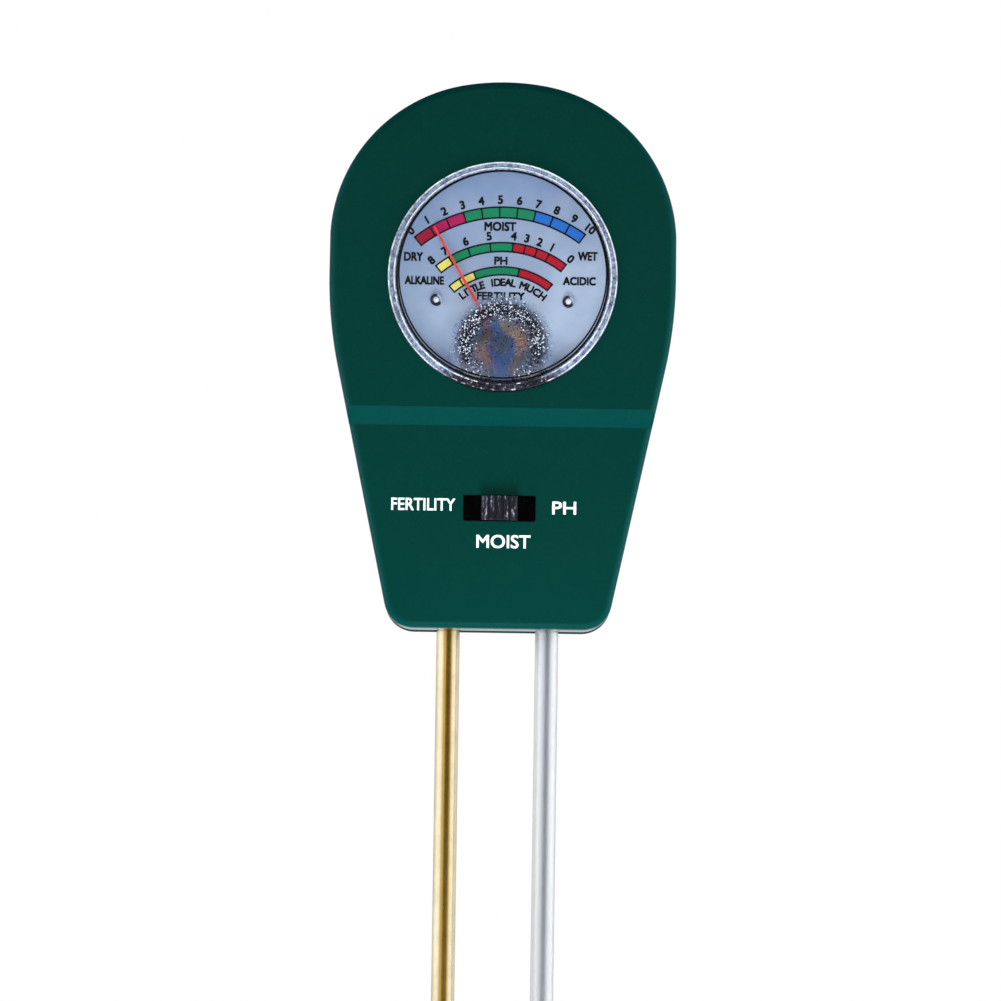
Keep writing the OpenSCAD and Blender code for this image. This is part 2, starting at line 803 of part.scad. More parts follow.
front_shell();
rear_shell();
shell_screws();
lens();
dial_plate();
dial_rivets();
movement_frame();
movement_screws();
yoke_ring();
core_magnet();
core_support();
front_bridge();
bridge_screw();
front_jewel_screw();
rear_jewel_screw();
rear_spring_anchor();
rear_hairspring();
front_hairspring();
zero_adjust_lever();
coil_former();
coil_winding();
front_staff();
rear_staff();
pointer();
balance_weights();
switch_frame();
switch_base();
switch_terminals();
switch_knob();
switch_contacts();
circuit_board();
board_screws();
resistors();
brass_probe();
aluminium_probe();
probe_terminals();
terminal_screws();
brass_probe_lead();
aluminium_probe_lead();
front_meter_lead();
rear_meter_lead();
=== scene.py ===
"""Looks for the soil meter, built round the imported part.

Sizes are in millimetres and are turned into metres when a mesh is made. +Z is up, the dial faces -Y,
and angles on the dial count clockwise from upright about the pointer's pivot.
"""

import json
import math
import random

import bmesh
import bpy
from mathutils import Matrix, Vector


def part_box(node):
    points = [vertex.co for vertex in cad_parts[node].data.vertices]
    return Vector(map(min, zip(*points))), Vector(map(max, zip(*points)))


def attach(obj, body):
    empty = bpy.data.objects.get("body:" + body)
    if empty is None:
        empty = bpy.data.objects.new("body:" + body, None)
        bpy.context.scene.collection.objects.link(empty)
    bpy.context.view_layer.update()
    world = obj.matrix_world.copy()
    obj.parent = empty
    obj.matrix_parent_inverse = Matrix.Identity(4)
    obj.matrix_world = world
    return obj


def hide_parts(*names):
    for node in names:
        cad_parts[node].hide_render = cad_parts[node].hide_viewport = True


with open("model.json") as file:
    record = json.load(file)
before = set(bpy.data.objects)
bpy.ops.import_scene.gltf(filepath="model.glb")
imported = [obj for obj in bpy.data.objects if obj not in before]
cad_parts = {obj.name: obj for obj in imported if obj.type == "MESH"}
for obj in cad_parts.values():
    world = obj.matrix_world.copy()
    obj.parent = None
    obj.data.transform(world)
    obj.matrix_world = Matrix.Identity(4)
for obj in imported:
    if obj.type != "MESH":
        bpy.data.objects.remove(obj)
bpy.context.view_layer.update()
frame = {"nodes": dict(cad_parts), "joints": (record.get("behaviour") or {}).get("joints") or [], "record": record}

MM = 0.001
UP = Vector((0, 0, 1))
HOUSING = "housing"
POINTER = "pointer_assembly"
rng = random.Random(20)


# ---------- sizes, in millimetres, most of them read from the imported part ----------

def box_mm(node):
    lo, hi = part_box(node)
    return lo / MM, hi / MM


def joint(name):
    return next(j for j in frame["joints"] if j["name"] == name)


front_lo, front_hi = box_mm("front_shell")
half_w = front_hi.x
head_h = front_hi.z
face_y = front_lo.y
rear_y = box_mm("rear_shell")[1].y
pivot_z = joint("pointer_swing")["pos_m"][2] / MM

# The head's outline, as in the part: tilted sides, then broader and tighter arcs
SIDE_TILT = 12
CORNER_R = 5.6
SIDE_ARC_R = 81
SIDE_ARC_Z = 65.8
SHOULDER_X = 2.4
SHOULDER_END = 80
FACE_STEP = 3
RAMP_LO = 38
RAMP_HI = 41.3
WALL = 2
EDGE_R = 1.6
REAR_ROUND = 4
SEAM = 0.25
low_y = face_y + FACE_STEP
SCREW_SPOTS = [(0, 95.4), (-14.6, 13.1), (14.6, 13.1)]
SCREW_SEAT = 8
SCREW_WELL_R = 3.05
SCREW_CLEAR_R = 1.6
SCREW_PILOT_R = 1.32
FRONT_POST_R = 3
REAR_POST_R = 4.3
LENS_GAP = 0.12
PROBE_GAP = 0.2
OVERLAP = 0.05

lens_lo, lens_hi = box_mm("lens")
lens_z = (lens_lo.z + lens_hi.z) / 2
flange_r = lens_hi.x
lens_r = flange_r - 2
lens_front = lens_lo.y
lens_back = lens_hi.y
window_r = lens_r - 1.5
window_t = 1.5
dial_y = box_mm("dial_plate")[0].y

rivet_lo, rivet_hi = box_mm("dial_rivets")
rivet_z = (rivet_lo.z + rivet_hi.z) / 2
RIVET_X = 12.4

knob_lo, knob_hi = box_mm("switch_knob")
switch_z = (knob_lo.z + knob_hi.z) / 2
SLOT_LEN = 13.6
SLOT_H = 4.9
KNOB_W = 6.8

brass_lo, brass_hi = box_mm("brass_probe")
probe_x = (box_mm("aluminium_probe")[0].x + box_mm("aluminium_probe")[1].x) / 2
collar_r = (brass_hi.x - brass_lo.x) / 2
probe_r = 2.2


# ---------- material nodes ----------

def srgb(red, green, blue):
    """Linear colour of an 8-bit sRGB colour."""
    def linear(v):
        v = v / 255
        return v / 12.92 if v <= 0.04045 else ((v + 0.055) / 1.055) ** 2.4
    return (linear(red), linear(green), linear(blue), 1)


def shade(colour, factor):
    return tuple(min(1, c * factor) for c in colour[:3]) + (1,)


class Graph:
    """A node tree, of a new material or of the world, with a short call for each kind of node."""

    def __init__(self, name, owner=None, output="OutputMaterial"):
        self.owner = bpy.data.materials.new(name) if owner is None else owner
        self.owner.use_nodes = True
        self.tree = self.owner.node_tree
        self.tree.nodes.clear()
        self.output = self.add(output)

    def add(self, kind, settings=None, inputs=None):
        """A node of a kind, named without the leading ShaderNode, with its inputs linked or set."""
        made = self.tree.nodes.new("ShaderNode" + kind)
        for key, value in (settings or {}).items():
            setattr(made, key, value)
        for key, value in (inputs or {}).items():
            if isinstance(value, bpy.types.NodeSocket):
                self.tree.links.new(value, made.inputs[key])
            else:
                made.inputs[key].default_value = value
        return made

    def place(self, stretch=(1, 1, 1), shift=(0, 0, 0)):
        """Position in the part's frame, in millimetres, scaled by stretch."""
        at = self.add("TexCoord").outputs["Object"]
        inputs = {"Vector": at, "Scale": tuple(s / MM for s in stretch), "Location": shift}
        return self.add("Mapping", inputs=inputs).outputs[0]

    def xyz(self, vector=None):
        """The three parts of a vector, which is the position unless another is given."""
        vector = self.place() if vector is None else vector
        parts = self.add("SeparateXYZ", inputs={0: vector}).outputs
        return parts["X"], parts["Y"], parts["Z"]

    def length(self, vector):
        return self.add("VectorMath", {"operation": "LENGTH"}, {0: vector}).outputs["Value"]

    def noise(self, per_mm, detail=4, rough=0.6, stretch=(1, 1, 1)):
        inputs = {"Vector": self.place(stretch), "Scale": per_mm, "Detail": detail, "Roughness": rough}
        return self.add("TexNoise", inputs=inputs).outputs["Fac"]

    def cells(self, per_mm, stretch=(1, 1, 1)):
        inputs = {"Vector": self.place(stretch), "Scale": per_mm}
        return self.add("TexVoronoi", inputs=inputs).outputs["Distance"]

    def math(self, operation, a, b=0.0, c=0.0, clamp=False):
        settings = {"operation": operation, "use_clamp": clamp}
        return self.add("Math", settings, {0: a, 1: b, 2: c}).outputs[0]

    def plus(self, a, b, clamp=False):
        return self.math("ADD", a, b, clamp=clamp)

    def times(self, a, b):
        return self.math("MULTIPLY", a, b)

    def remap(self, value, from_lo, from_hi, to_lo, to_hi, kind="LINEAR"):
        """Takes from_lo to to_lo and from_hi to to_hi, and stays between them."""
        settings = {"interpolation_type": kind, "clamp": True}
        inputs = {"Value": value, "From Min": from_lo, "From Max": from_hi, "To Min": to_lo, "To Max": to_hi}
        return self.add("MapRange", settings, inputs).outputs[0]

    def fade(self, value, *limits):
        """As remap, with soft ends."""
        return self.remap(value, *limits, kind="SMOOTHSTEP")

    def spread(self, noise, low, high):
        """Spreads the middle of a noise over low to high."""
        return self.remap(noise, 0.3, 0.7, low, high)

    def ramp(self, value, stops):
        made = self.add("ValToRGB", inputs={0: value})
        made.color_ramp.elements[0].position, made.color_ramp.elements[0].color = stops[0]
        made.color_ramp.elements[1].position, made.color_ramp.elements[1].color = stops[-1]
        for position, colour in stops[1:-1]:
            made.color_ramp.elements.new(position).color = colour
        return made.outputs[0]

    def blend(self, factor, a, b):
        """Colour a where the factor is 0, and b where it is 1."""
        return self.add("Mix", {"data_type": "RGBA"}, {0: factor, 6: a, 7: b}).outputs[2]

    def bump(self, height, depth_mm):
        inputs = {"Height": height, "Distance": depth_mm * MM, "Strength": 1.0}
        return self.add("Bump", inputs=inputs).outputs[0]

    def srgb_ramp(self, value, *stops):
        """Colours between stops of position, red, green and blue, as 8-bit sRGB."""
        return self.ramp(value, [(position, srgb(*colour)) for position, *colour in stops])

    def two_tone(self, value, colour, low, high, start=0.35, end=0.65):
        """The colour, from its low share at start to its high share at end."""
        return self.ramp(value, [(start, shade(colour, low)), (end, shade(colour, high))])

    def principled(self, colour, rough, specular=0.5, **more):
        inputs = {"Base Color": colour, "Roughness": rough, "Specular IOR Level": specular, **more}
        return self.add("BsdfPrincipled", inputs=inputs).outputs[0]

    def mix_shaders(self, factor, a, b):
        return self.add("MixShader", inputs={0: factor, 1: a, 2: b}).outputs[0]

    def finish(self, surface):
        self.tree.links.new(surface, self.output.inputs["Surface"])
        return self.owner

    def surface(self, colour, rough, height, depth_mm, specular=0.5, metallic=0.0):
        """Finishes the material as one principled surface with a bump."""
        normal = self.bump(height, depth_mm)
        return self.finish(self.principled(colour, rough, specular, Metallic=metallic, Normal=normal))


# ---------- finishes ----------

def moulded_plastic(name, colour, rough, specular, grain, mottle, edge=None):
    """Satin moulded plastic: fine grain, faint flow mottling, uneven gloss and, with edge, a painted highlight in
    that colour on faces tilted away from the front, with a glossier underside.
    """
    g = Graph(name)
    flow = g.noise(0.045, 3, 0.55)
    speck = g.noise(1.1, 2, 0.5)
    tone = g.plus(g.times(flow, 0.8), g.times(speck, 0.2))
    base = g.two_tone(tone, colour, 1 - mottle, 1 + mottle, 0.36, 0.64)
    gloss = g.spread(g.noise(0.3, 4), rough - 0.04, rough + 0.05)
    height = g.plus(g.noise(3.2, 3, 0.6), g.times(g.cells(4.5), 0.5))
    if edge:
        _, ahead, up = g.xyz(g.add("TexCoord").outputs["Normal"])
        tilted = g.times(g.remap(ahead, -0.97, -0.8, 0, 1), g.remap(ahead, -0.3, -0.1, 1, 0))
        # Painted highlight: faces tilted away from the front, such as the bevels and the sloping band, take the
        # edge colour.
        base = g.blend(tilted, base, edge)
        specular = g.remap(up, -0.97, -0.85, 1.0, specular)
        gloss = g.times(gloss, g.remap(up, -0.97, -0.85, 0.4, 1))
    return g.surface(base, gloss, height, grain, specular=specular)


def brushed_metal(name, colour, rough, stretch):
    """Drawn or turned metal: fine lines along one axis, uneven polish and slight tarnish."""
    g = Graph(name)
    lines = g.noise(9.0, 3, 0.7, stretch)
    tarnish = g.noise(0.22, 4, 0.6)
    base = g.two_tone(tarnish, colour, 0.88, 1, 0.38, 0.6)
    gloss = g.remap(g.plus(lines, g.times(tarnish, 0.6)), 0.5, 1.2, rough * 0.75, rough * 1.3)
    return g.surface(base, gloss, lines, 0.004, metallic=1.0)


def drawn_rod(name, core, glare, rough, stain):
    """Polished drawn rod: richer where it faces the viewer and paler towards its sides as a painted highlight,
    with tarnish and lines along it.
    """
    g = Graph(name)
    lines = g.noise(9.0, 3, 0.7, (1, 1, 0.03))
    tarnish = g.noise(0.22, 4, 0.6)
    facing = g.add("LayerWeight", inputs={"Blend": 0.5}).outputs["Facing"]
    # Painted highlight: paler towards the sides, where the rod turns away from the viewer.
    metal = g.blend(g.fade(facing, 0.03, 0.12, 0, 1), core, glare)
    tarnish_and_highlight = g.blend(g.remap(tarnish, 0.38, 0.6, stain, 0), metal, shade(core, 0.5))
    gloss = g.remap(g.plus(lines, g.times(tarnish, 0.6)), 0.5, 1.2, rough * 0.85, rough * 1.2)
    return g.surface(tarnish_and_highlight, gloss, lines, 0.003, metallic=1.0)


def zinc_plate(name):
    """Bright zinc: bluish with pale crystalline patches and a faint yellow passivation."""
    g = Graph(name)
    patches = g.cells(1.6)
    film = g.noise(0.9, 3)
    base = g.blend(g.remap(film, 0.45, 0.7, 0, 1), srgb(196, 200, 207), srgb(206, 198, 178))
    gloss = g.remap(patches, 0, 0.7, 0.18, 0.38)
    return g.surface(base, gloss, g.noise(7.0, 3), 0.006, metallic=1.0)


def printed_ink(name, colour, flake):
    """Screen-printed ink: a fine weave of tone from the mesh, matt, with a slightly raised edge."""
    g = Graph(name)
    tone = g.noise(5.0, 3, 0.7)
    base = g.two_tone(tone, colour, 1 - flake, 1 + flake)
    return g.surface(base, g.spread(tone, 0.42, 0.6), g.noise(12.0, 2), 0.004, specular=0.2)


def dial_paint(name):
    """Silver-blue dial: satin lacquer over aluminium with soft cloudy tone and fine sparkle, and painted shade:
    darker towards the top and the bottom, lighter towards the right.
    """
    g = Graph(name)
    cloud = g.remap(g.noise(0.12, 3, 0.5), 0.2, 0.8, 0.32, 0.68)
    flake = g.cells(7.0)
    x, _, z = g.xyz()
    # Painted shade and light: darker towards the top and the bottom, lighter towards the right.
    shade_towards_top = g.remap(z, lens_z - 6, lens_z + 18, 0.12, -0.22)
    lower = g.remap(z, lens_z - 16, lens_z - 6, -0.14, 0)
    light_from_right = g.remap(x, -20, 20, -0.13, 0.13)
    tone = g.plus(g.plus(shade_towards_top, lower), g.plus(light_from_right, cloud))
    base = g.srgb_ramp(tone, (0.3, 122, 145, 182), (0.5, 145, 161, 188), (0.7, 174, 188, 210))
    base = g.blend(g.remap(flake, 0.0, 0.55, 0.0, 0.12), base, srgb(214, 220, 234))
    return g.surface(base, g.spread(g.noise(0.6, 3), 0.42, 0.55), g.noise(10.0, 2), 0.003, specular=0.3)


def slot_blackened(name, deepest):
    """Tinned steel with painted shade: near-black where it can be seen through the slot, down to the deepest Y."""
    g = Graph(name)
    x, y, z = g.xyz()
    margin = 0.3
    near_x = g.math("COMPARE", x, 0, SLOT_LEN / 2 + margin)
    near_z = g.math("COMPARE", z, switch_z, SLOT_H / 2 + margin)
    # Painted shade: the steel turns near-black where the slot shows it.
    black = g.times(g.math("LESS_THAN", y, deepest), g.times(near_x, near_z))
    lines = g.noise(9.0, 3, 0.7, (0.1, 1, 1))
    base = g.srgb_ramp(lines, (0.35, 186, 189, 194), (0.65, 208, 211, 215))
    return g.surface(g.blend(black, base, srgb(5, 5, 7)), g.spread(lines, 0.28, 0.42), lines, 0.004,
                     metallic=g.math("SUBTRACT", 1, black))


def knob_finish(name):
    """Black knob: painted highlights in grey streaks along the crowns of its ribs, and a carrier kept black, with
    little gloss, as painted shade.
    """
    g = Graph(name)
    x, y, _ = g.xyz()
    streak = g.noise(2.6, 3, 0.65, (1, 1, 0.3))
    rib_highlight = g.srgb_ramp(streak, (0.46, 14, 14, 20), (0.58, 46, 44, 56), (0.68, 156, 152, 170))
    off_middle = g.math("ABSOLUTE", x)
    # Painted highlight along the rib crowns, weaker in the middle and at the knob's sides; the carrier is painted
    # black as shade.
    crown = g.remap(y, knob_lo.y + 0.15, knob_lo.y + 0.7, 1, 0)
    crown = g.times(crown, g.remap(off_middle, 0.5, 1.3, 0.45, 1))
    crown = g.times(crown, g.remap(off_middle, KNOB_W / 2 - 0.6, KNOB_W / 2 - 0.2, 1, 0.3))
    carrier_in_shade = g.math("GREATER_THAN", off_middle, KNOB_W / 2 + 0.05)
    base = g.blend(crown, srgb(20, 20, 27), rib_highlight)
    return g.surface(g.blend(carrier_in_shade, base, srgb(4, 4, 6)), g.spread(streak, 0.28, 0.42), streak, 0.02,
                     specular=g.remap(carrier_in_shade, 0, 1, 0.5, 0.05))


def rivet_metal(name):
    """Domed rivet: a painted highlight in the middle of a grey dish, and a painted shadow at its edge that stays
    open on the lit side.
    """
    g = Graph(name)
    x, _, z = g.xyz()
    across = g.math("SUBTRACT", g.math("ABSOLUTE", x), RIVET_X)
    up = g.math("SUBTRACT", z, rivet_z)
    radius = g.math("SQRT", g.plus(g.times(across, across), g.times(up, up)))
    side = g.times(across, g.math("SIGN", x))
    lit = g.remap(g.plus(side, g.times(up, 0.5)), 0.45, 0.75, 0, 1)
    # Painted shadow round the edge, open on the lit side; the ramp below paints a highlight in the middle.
    edge_shadow = g.times(g.remap(radius, 0.6, 0.68, 0, 1), g.math("SUBTRACT", 1, lit))
    scratch = g.noise(6.0, 3)
    highlight_radius = g.plus(g.times(radius, 0.9), g.times(scratch, 0.1))
    dish = g.srgb_ramp(highlight_radius, (0.3, 246, 248, 252), (0.45, 132, 138, 158), (0.75, 176, 184, 204))
    base = g.blend(edge_shadow, dish, srgb(18, 20, 30))
    return g.surface(base, g.spread(scratch, 0.25, 0.4), scratch, 0.01)


def enamel(name, colour, rough):
    """Sprayed enamel on metal, with a fine orange-peel surface."""
    g = Graph(name)
    peel = g.noise(1.8, 3, 0.5)
    base = g.two_tone(g.noise(0.5, 4), colour, 0.86, 1.12)
    return g.surface(base, g.spread(peel, rough - 0.05, rough + 0.08), peel, 0.01)


def wound_copper(name):
    """Enamelled wire: streaky copper, with a pink and a cream sheen where the turns catch the light."""
    g = Graph(name)
    strands = g.noise(1.4, 3, 0.6)
    base = g.srgb_ramp(strands, (0.35, 196, 112, 80), (0.65, 232, 146, 108))
    pink = (-4.0, -1.8, 2.6, srgb(236, 176, 178))
    cream = (2.6, 2.4, 2.4, srgb(255, 240, 208))
    for across, up, reach, sheen in (pink, cream):
        from_spot = g.place((1, 0, 1), (-across, 0, -pivot_z - up))
        base = g.blend(g.fade(g.length(from_spot), 0.3 * reach, reach, 1, 0), base, sheen)
    return g.surface(base, g.spread(strands, 0.2, 0.32), strands, 0.01)


def magnet_steel(name, colour, rough):
    """Sintered or turned steel: dark, slightly pitted, with circular tool lines about the pivot."""
    g = Graph(name)
    centre = g.place(shift=(0, 0, -pivot_z))
    rings = g.add("TexWave", {"wave_type": "RINGS", "rings_direction": "Y"},
                  {"Vector": centre, "Scale": 1.6, "Distortion": 1.2, "Detail": 2.0}).outputs["Fac"]
    base = g.two_tone(g.noise(0.8, 5), colour, 0.75, 1.2)
    gloss = g.remap(rings, 0, 1, rough - 0.06, rough + 0.08)
    height = g.plus(g.times(rings, 0.4), g.noise(6.0, 3))
    return g.surface(base, gloss, height, 0.01, metallic=0.9)


def phenolic(name):
    """Paper-phenolic board: amber with darker fibres, and a raised grid of copper tracks."""
    g = Graph(name)
    fibres = g.noise(2.2, 4, 0.7, (0.25, 1, 1.6))
    base = g.srgb_ramp(fibres, (0.35, 128, 78, 32), (0.65, 184, 128, 66))
    track = g.add("TexBrick", {"offset": 0.5}, {
        "Vector": g.place((0.16, 0.16, 0.16)), "Scale": 1.0, "Mortar Size": 0.06, "Mortar Smooth": 0.1})
    on_track = track.outputs["Fac"]
    base = g.blend(g.times(on_track, 0.7), base, srgb(176, 104, 44))
    return g.surface(base, g.spread(fibres, 0.4, 0.6), on_track, 0.03)


def insulation(name, colour):
    """Extruded vinyl insulation: soft gloss with faint die lines and scuffs."""
    g = Graph(name)
    scuff = g.noise(1.2, 5, 0.7)
    base = g.two_tone(scuff, colour, 0.85, 1.25, 0.35, 0.7)
    return g.surface(base, g.spread(scuff, 0.3, 0.5), g.noise(5.0, 2), 0.01)


def resistor_paint(name):
    """Beige lacquer with colour-code bands across the body; the wires at both ends stay tinned."""
    g = Graph(name)
    half_pitch = 5.5
    along = g.math("WRAP", g.xyz()[0], half_pitch, -half_pitch)
    code = [(-2.4, 0.7, srgb(120, 72, 30)), (-1.1, 0.5, srgb(20, 20, 22)), (0.2, 0.5, srgb(176, 40, 32)),
            (2.3, 0.5, srgb(190, 150, 60))]
    base = g.srgb_ramp(g.noise(1.5, 3), (0.35, 204, 176, 128), (0.65, 222, 198, 152))
    for middle, width, colour in code:
        near = g.math("COMPARE", along, middle, width / 2)
        base = g.blend(near, base, colour)
    wire = g.math("GREATER_THAN", g.math("ABSOLUTE", along), 3.0)
    base = g.blend(wire, base, srgb(190, 192, 196))
    return g.surface(base, 0.35, g.noise(4.0, 3), 0.02, metallic=wire)


def over_case(g, light, dark):
    """Blends from light to dark as painted shade: near the lens's lowest part, where the dark case shows through,
    and a little towards the left and right.
    """
    x, _, z = g.xyz()
    light = g.blend(g.remap(x, -21, -12, 0.35, 0), light, dark)
    light = g.blend(g.remap(x, 12, 21, 0, 0.25), light, dark)
    return g.blend(g.fade(z, lens_z - 19.5, lens_z - 16.5, 1, 0), light, dark)


def rim_plastic(name):
    """Clear plastic seen edge-on: grey-blue and cloudy, with painted shade towards the bottom and the sides, and
    painted glints in that shade.
    """
    g = Graph(name)
    streak = g.noise(1.6, 4, 0.6)
    light = g.srgb_ramp(streak, (0.34, 64, 68, 98), (0.48, 112, 124, 148), (0.66, 160, 172, 192))
    # The dark ramp is painted shade, and its pale stop paints a few glints into it.
    dark = g.srgb_ramp(streak, (0.44, 16, 16, 26), (0.61, 52, 50, 64), (0.73, 192, 186, 202))
    return g.surface(over_case(g, light, dark), g.spread(streak, 0.14, 0.26), g.noise(2.0, 3), 0.006,
                     specular=0.7)


def bead_plastic(name):
    """The rim's rounded ridges, pale all the way round as a painted highlight, with painted shade towards the
    bottom.
    """
    g = Graph(name)
    streak = g.noise(0.9, 4, 0.6)
    light = g.srgb_ramp(streak, (0.3, 96, 104, 128), (0.45, 206, 212, 224), (0.6, 240, 243, 248))
    dark = g.srgb_ramp(streak, (0.52, 28, 28, 40), (0.65, 214, 210, 222))
    return g.surface(over_case(g, light, dark), g.spread(streak, 0.1, 0.2), streak, 0.004, specular=0.9)


def skirt_plastic(name):
    """The lens's inner wall, near-black as painted shadow in the gap round the dial, with a few painted glints."""
    g = Graph(name)
    glint = g.cells(1.1, (1, 1, 2.2))
    # Near-black as painted shadow, with pale stops as painted glints.
    base = g.srgb_ramp(glint, (0.0, 70, 76, 98), (0.08, 8, 10, 20), (0.5, 3, 4, 10))
    return g.surface(base, 0.35, g.noise(1.6, 3), 0.02, specular=0.15)


def clear_window(name):
    """Thin clear plastic: light passes straight through, and only the reflection shows, with fine scuffs."""
    g = Graph(name)
    scuff = g.noise(0.8, 6, 0.75)
    gloss = g.remap(scuff, 0.35, 0.7, 0.02, 0.1)
    normal = g.bump(g.noise(0.25, 2), 0.01)
    shine = g.add("BsdfGlossy", inputs={"Roughness": gloss, "Normal": normal}).outputs[0]
    through = g.add("BsdfTransparent", inputs={"Color": (0.985, 0.99, 1.0, 1)}).outputs[0]
    reflect = g.add("Fresnel", inputs={"IOR": 1.3}).outputs[0]
    return g.finish(g.mix_shaders(g.math("MINIMUM", reflect, 0.35), through, shine))


def frosted(name):
    """Textured patch of the lens: it blurs what lies behind it, and fades out at its edge; a ring of dark and pale
    specks about the pivot is painted reflection and shade.
    """
    g = Graph(name)
    from_pivot = g.place((1, 0, 1), (0, 0, -pivot_z))
    radius = g.length(from_pivot)
    x, _, z = g.xyz(from_pivot)
    reach = g.blend(g.fade(z, -1.5, 0.5, 0, 1), g.math("ABSOLUTE", x), radius)
    grain = g.noise(2.4, 3, 0.6)
    edge = g.fade(g.plus(reach, g.times(grain, 1.6)), 8.8, 10.9, 1.0, 0.0)
    ring = g.times(g.fade(radius, 3.8, 6.4, 0, 1), g.fade(radius, 7.4, 9.2, 1, 0))
    ring = g.times(ring, g.fade(z, -6.5, -2.5, 0, 1))
    speck = g.noise(1.9, 3, 0.6)
    normal = g.bump(g.plus(grain, g.cells(3.2)), 0.06)
    glass = {"Roughness": 0.62, "IOR": 1.45, "Color": (0.82, 0.82, 0.84, 1), "Normal": normal}
    blur = g.add("BsdfRefraction", inputs=glass).outputs[0]
    pale = g.srgb_ramp(grain, (0.35, 116, 129, 160), (0.65, 144, 157, 185))
    # Painted specks of reflection and shade, in a ring about the pivot.
    painted_specks = g.srgb_ramp(speck, (0.42, 8, 10, 20), (0.54, 46, 50, 68), (0.66, 140, 146, 172))
    milk_with_specks = g.principled(g.blend(ring, pale, painted_specks), 0.4, Normal=normal)
    haze = g.fade(reach, 6.8, 8.5, 0.0, 0.75)
    cover = g.math("MAXIMUM", haze, g.times(ring, 0.75))
    cover = g.plus(g.remap(radius, 2.0, 6.0, 0.04, 0.15), cover, clamp=True)
    body = g.mix_shaders(cover, blur, milk_with_specks)
    through = g.add("BsdfTransparent").outputs[0]
    shadow = g.add("LightPath").outputs["Is Shadow Ray"]
    seen = g.times(edge, g.math("SUBTRACT", 1.0, g.times(shadow, 0.85)))
    return g.finish(g.mix_shaders(seen, through, body))


def droplet(name, colour, rough, specular):
    """Bead of clear plastic, in the tone of what it mirrors or shows."""
    g = Graph(name)
    tone = g.noise(3.0, 2)
    base = g.two_tone(tone, colour, 0.8, 1.1)
    return g.surface(base, g.spread(tone, rough, rough + 0.1), g.noise(9.0, 2), 0.004, specular=specular)


def floor_paint(name, fade_from, fade_to):
    """Pale matt floor that fades out into the white surroundings."""
    g = Graph(name)
    radius = g.length(g.place())
    solid = g.fade(radius, fade_from, fade_to, 1.0, 0.0)
    tone = g.ramp(g.noise(0.02, 3), [(0.3, (0.86, 0.865, 0.87, 1)), (0.7, (0.9, 0.9, 0.9, 1))])
    matt = g.principled(tone, 0.7, specular=0.2)
    through = g.add("BsdfTransparent").outputs[0]
    return g.finish(g.mix_shaders(solid, through, matt))


# Linear colours
HOUSING_GREEN = (0.0001, 0.0305, 0.0238, 1)
# Teal of the painted highlight on the housing's tilted faces
TILT_HIGHLIGHT_GREEN = (0.0001, 0.0395, 0.0372, 1)

# Each finish's function, with what it takes after the name
recipes = {
    "housing_plastic": (moulded_plastic, HOUSING_GREEN, 0.26, 0.05, 0.001, 0.02, TILT_HIGHLIGHT_GREEN),
    "rear_plastic": (moulded_plastic, HOUSING_GREEN, 0.65, 0.02, 0.002, 0.03),
    "black_plastic": (moulded_plastic, srgb(12, 12, 14), 0.5, 0.15, 0.005, 0.2),
    "white_plastic": (moulded_plastic, srgb(222, 218, 206), 0.4, 0.35, 0.005, 0.06),
    "dial_print": (dial_paint,),
    "screw_steel": (zinc_plate,),
    "magnet_steel": (magnet_steel, srgb(96, 99, 105), 0.38),
    "blue_paint": (enamel, srgb(10, 66, 128), 0.3),
    "copper_wire": (enamel, srgb(212, 124, 88), 0.24),
    "pointer_red": (enamel, srgb(232, 56, 46), 0.4),
    "brass": (brushed_metal, srgb(214, 170, 92), 0.24, (1, 0.05, 1)),
    "spring_bronze": (brushed_metal, srgb(228, 186, 112), 0.3, (1, 0.2, 1)),
    "coil_frame": (brushed_metal, srgb(198, 200, 205), 0.3, (1, 0.05, 1)),
    "staff_steel": (brushed_metal, srgb(160, 164, 170), 0.2, (1, 0.05, 1)),
    "tinned_steel": (brushed_metal, srgb(204, 207, 211), 0.32, (0.1, 1, 1)),
    "phenolic": (phenolic,),
    "knob_plastic": (knob_finish,),
    "resistor_body": (resistor_paint,),
    "probe_brass": (drawn_rod, srgb(214, 172, 84), srgb(240, 226, 192), 0.24, 0.16),
    "probe_aluminium": (drawn_rod, srgb(238, 240, 250), srgb(246, 247, 251), 0.4, 0.05),
    "red_insulation": (insulation, srgb(172, 32, 26)),
    "black_insulation": (insulation, srgb(28, 28, 31)),
    "clear_plastic": (clear_window,),
}
finishes = {name: maker(name, *values) for name, (maker, *values) in recipes.items()}


def dress_cad_nodes():
    """Every CAD node that stays gets its material slot's finish."""
    for part in frame["record"]["subparts"]:
        mesh = frame["nodes"][part["node"]].data
        mesh.materials.clear()
        mesh.materials.append(finishes[part["material_slot"]])
    special = {"dial_rivets": rivet_metal("rivet_metal"),
               "switch_frame": slot_blackened("switch_frame_metal", rear_y),
               "switch_terminals": slot_blackened("terminal_metal", box_mm("switch_base")[0].y + 0.1),
               "front_jewel_screw": enamel("blued_steel", srgb(44, 54, 82), 0.35)}
    for node, finish in special.items():
        frame["nodes"][node].data.materials[0] = finish


# ---------- mesh tools ----------

def linked(name, data):
    """A new object in the scene."""
    obj = bpy.data.objects.new(name, data)
    bpy.context.scene.collection.objects.link(obj)
    return obj


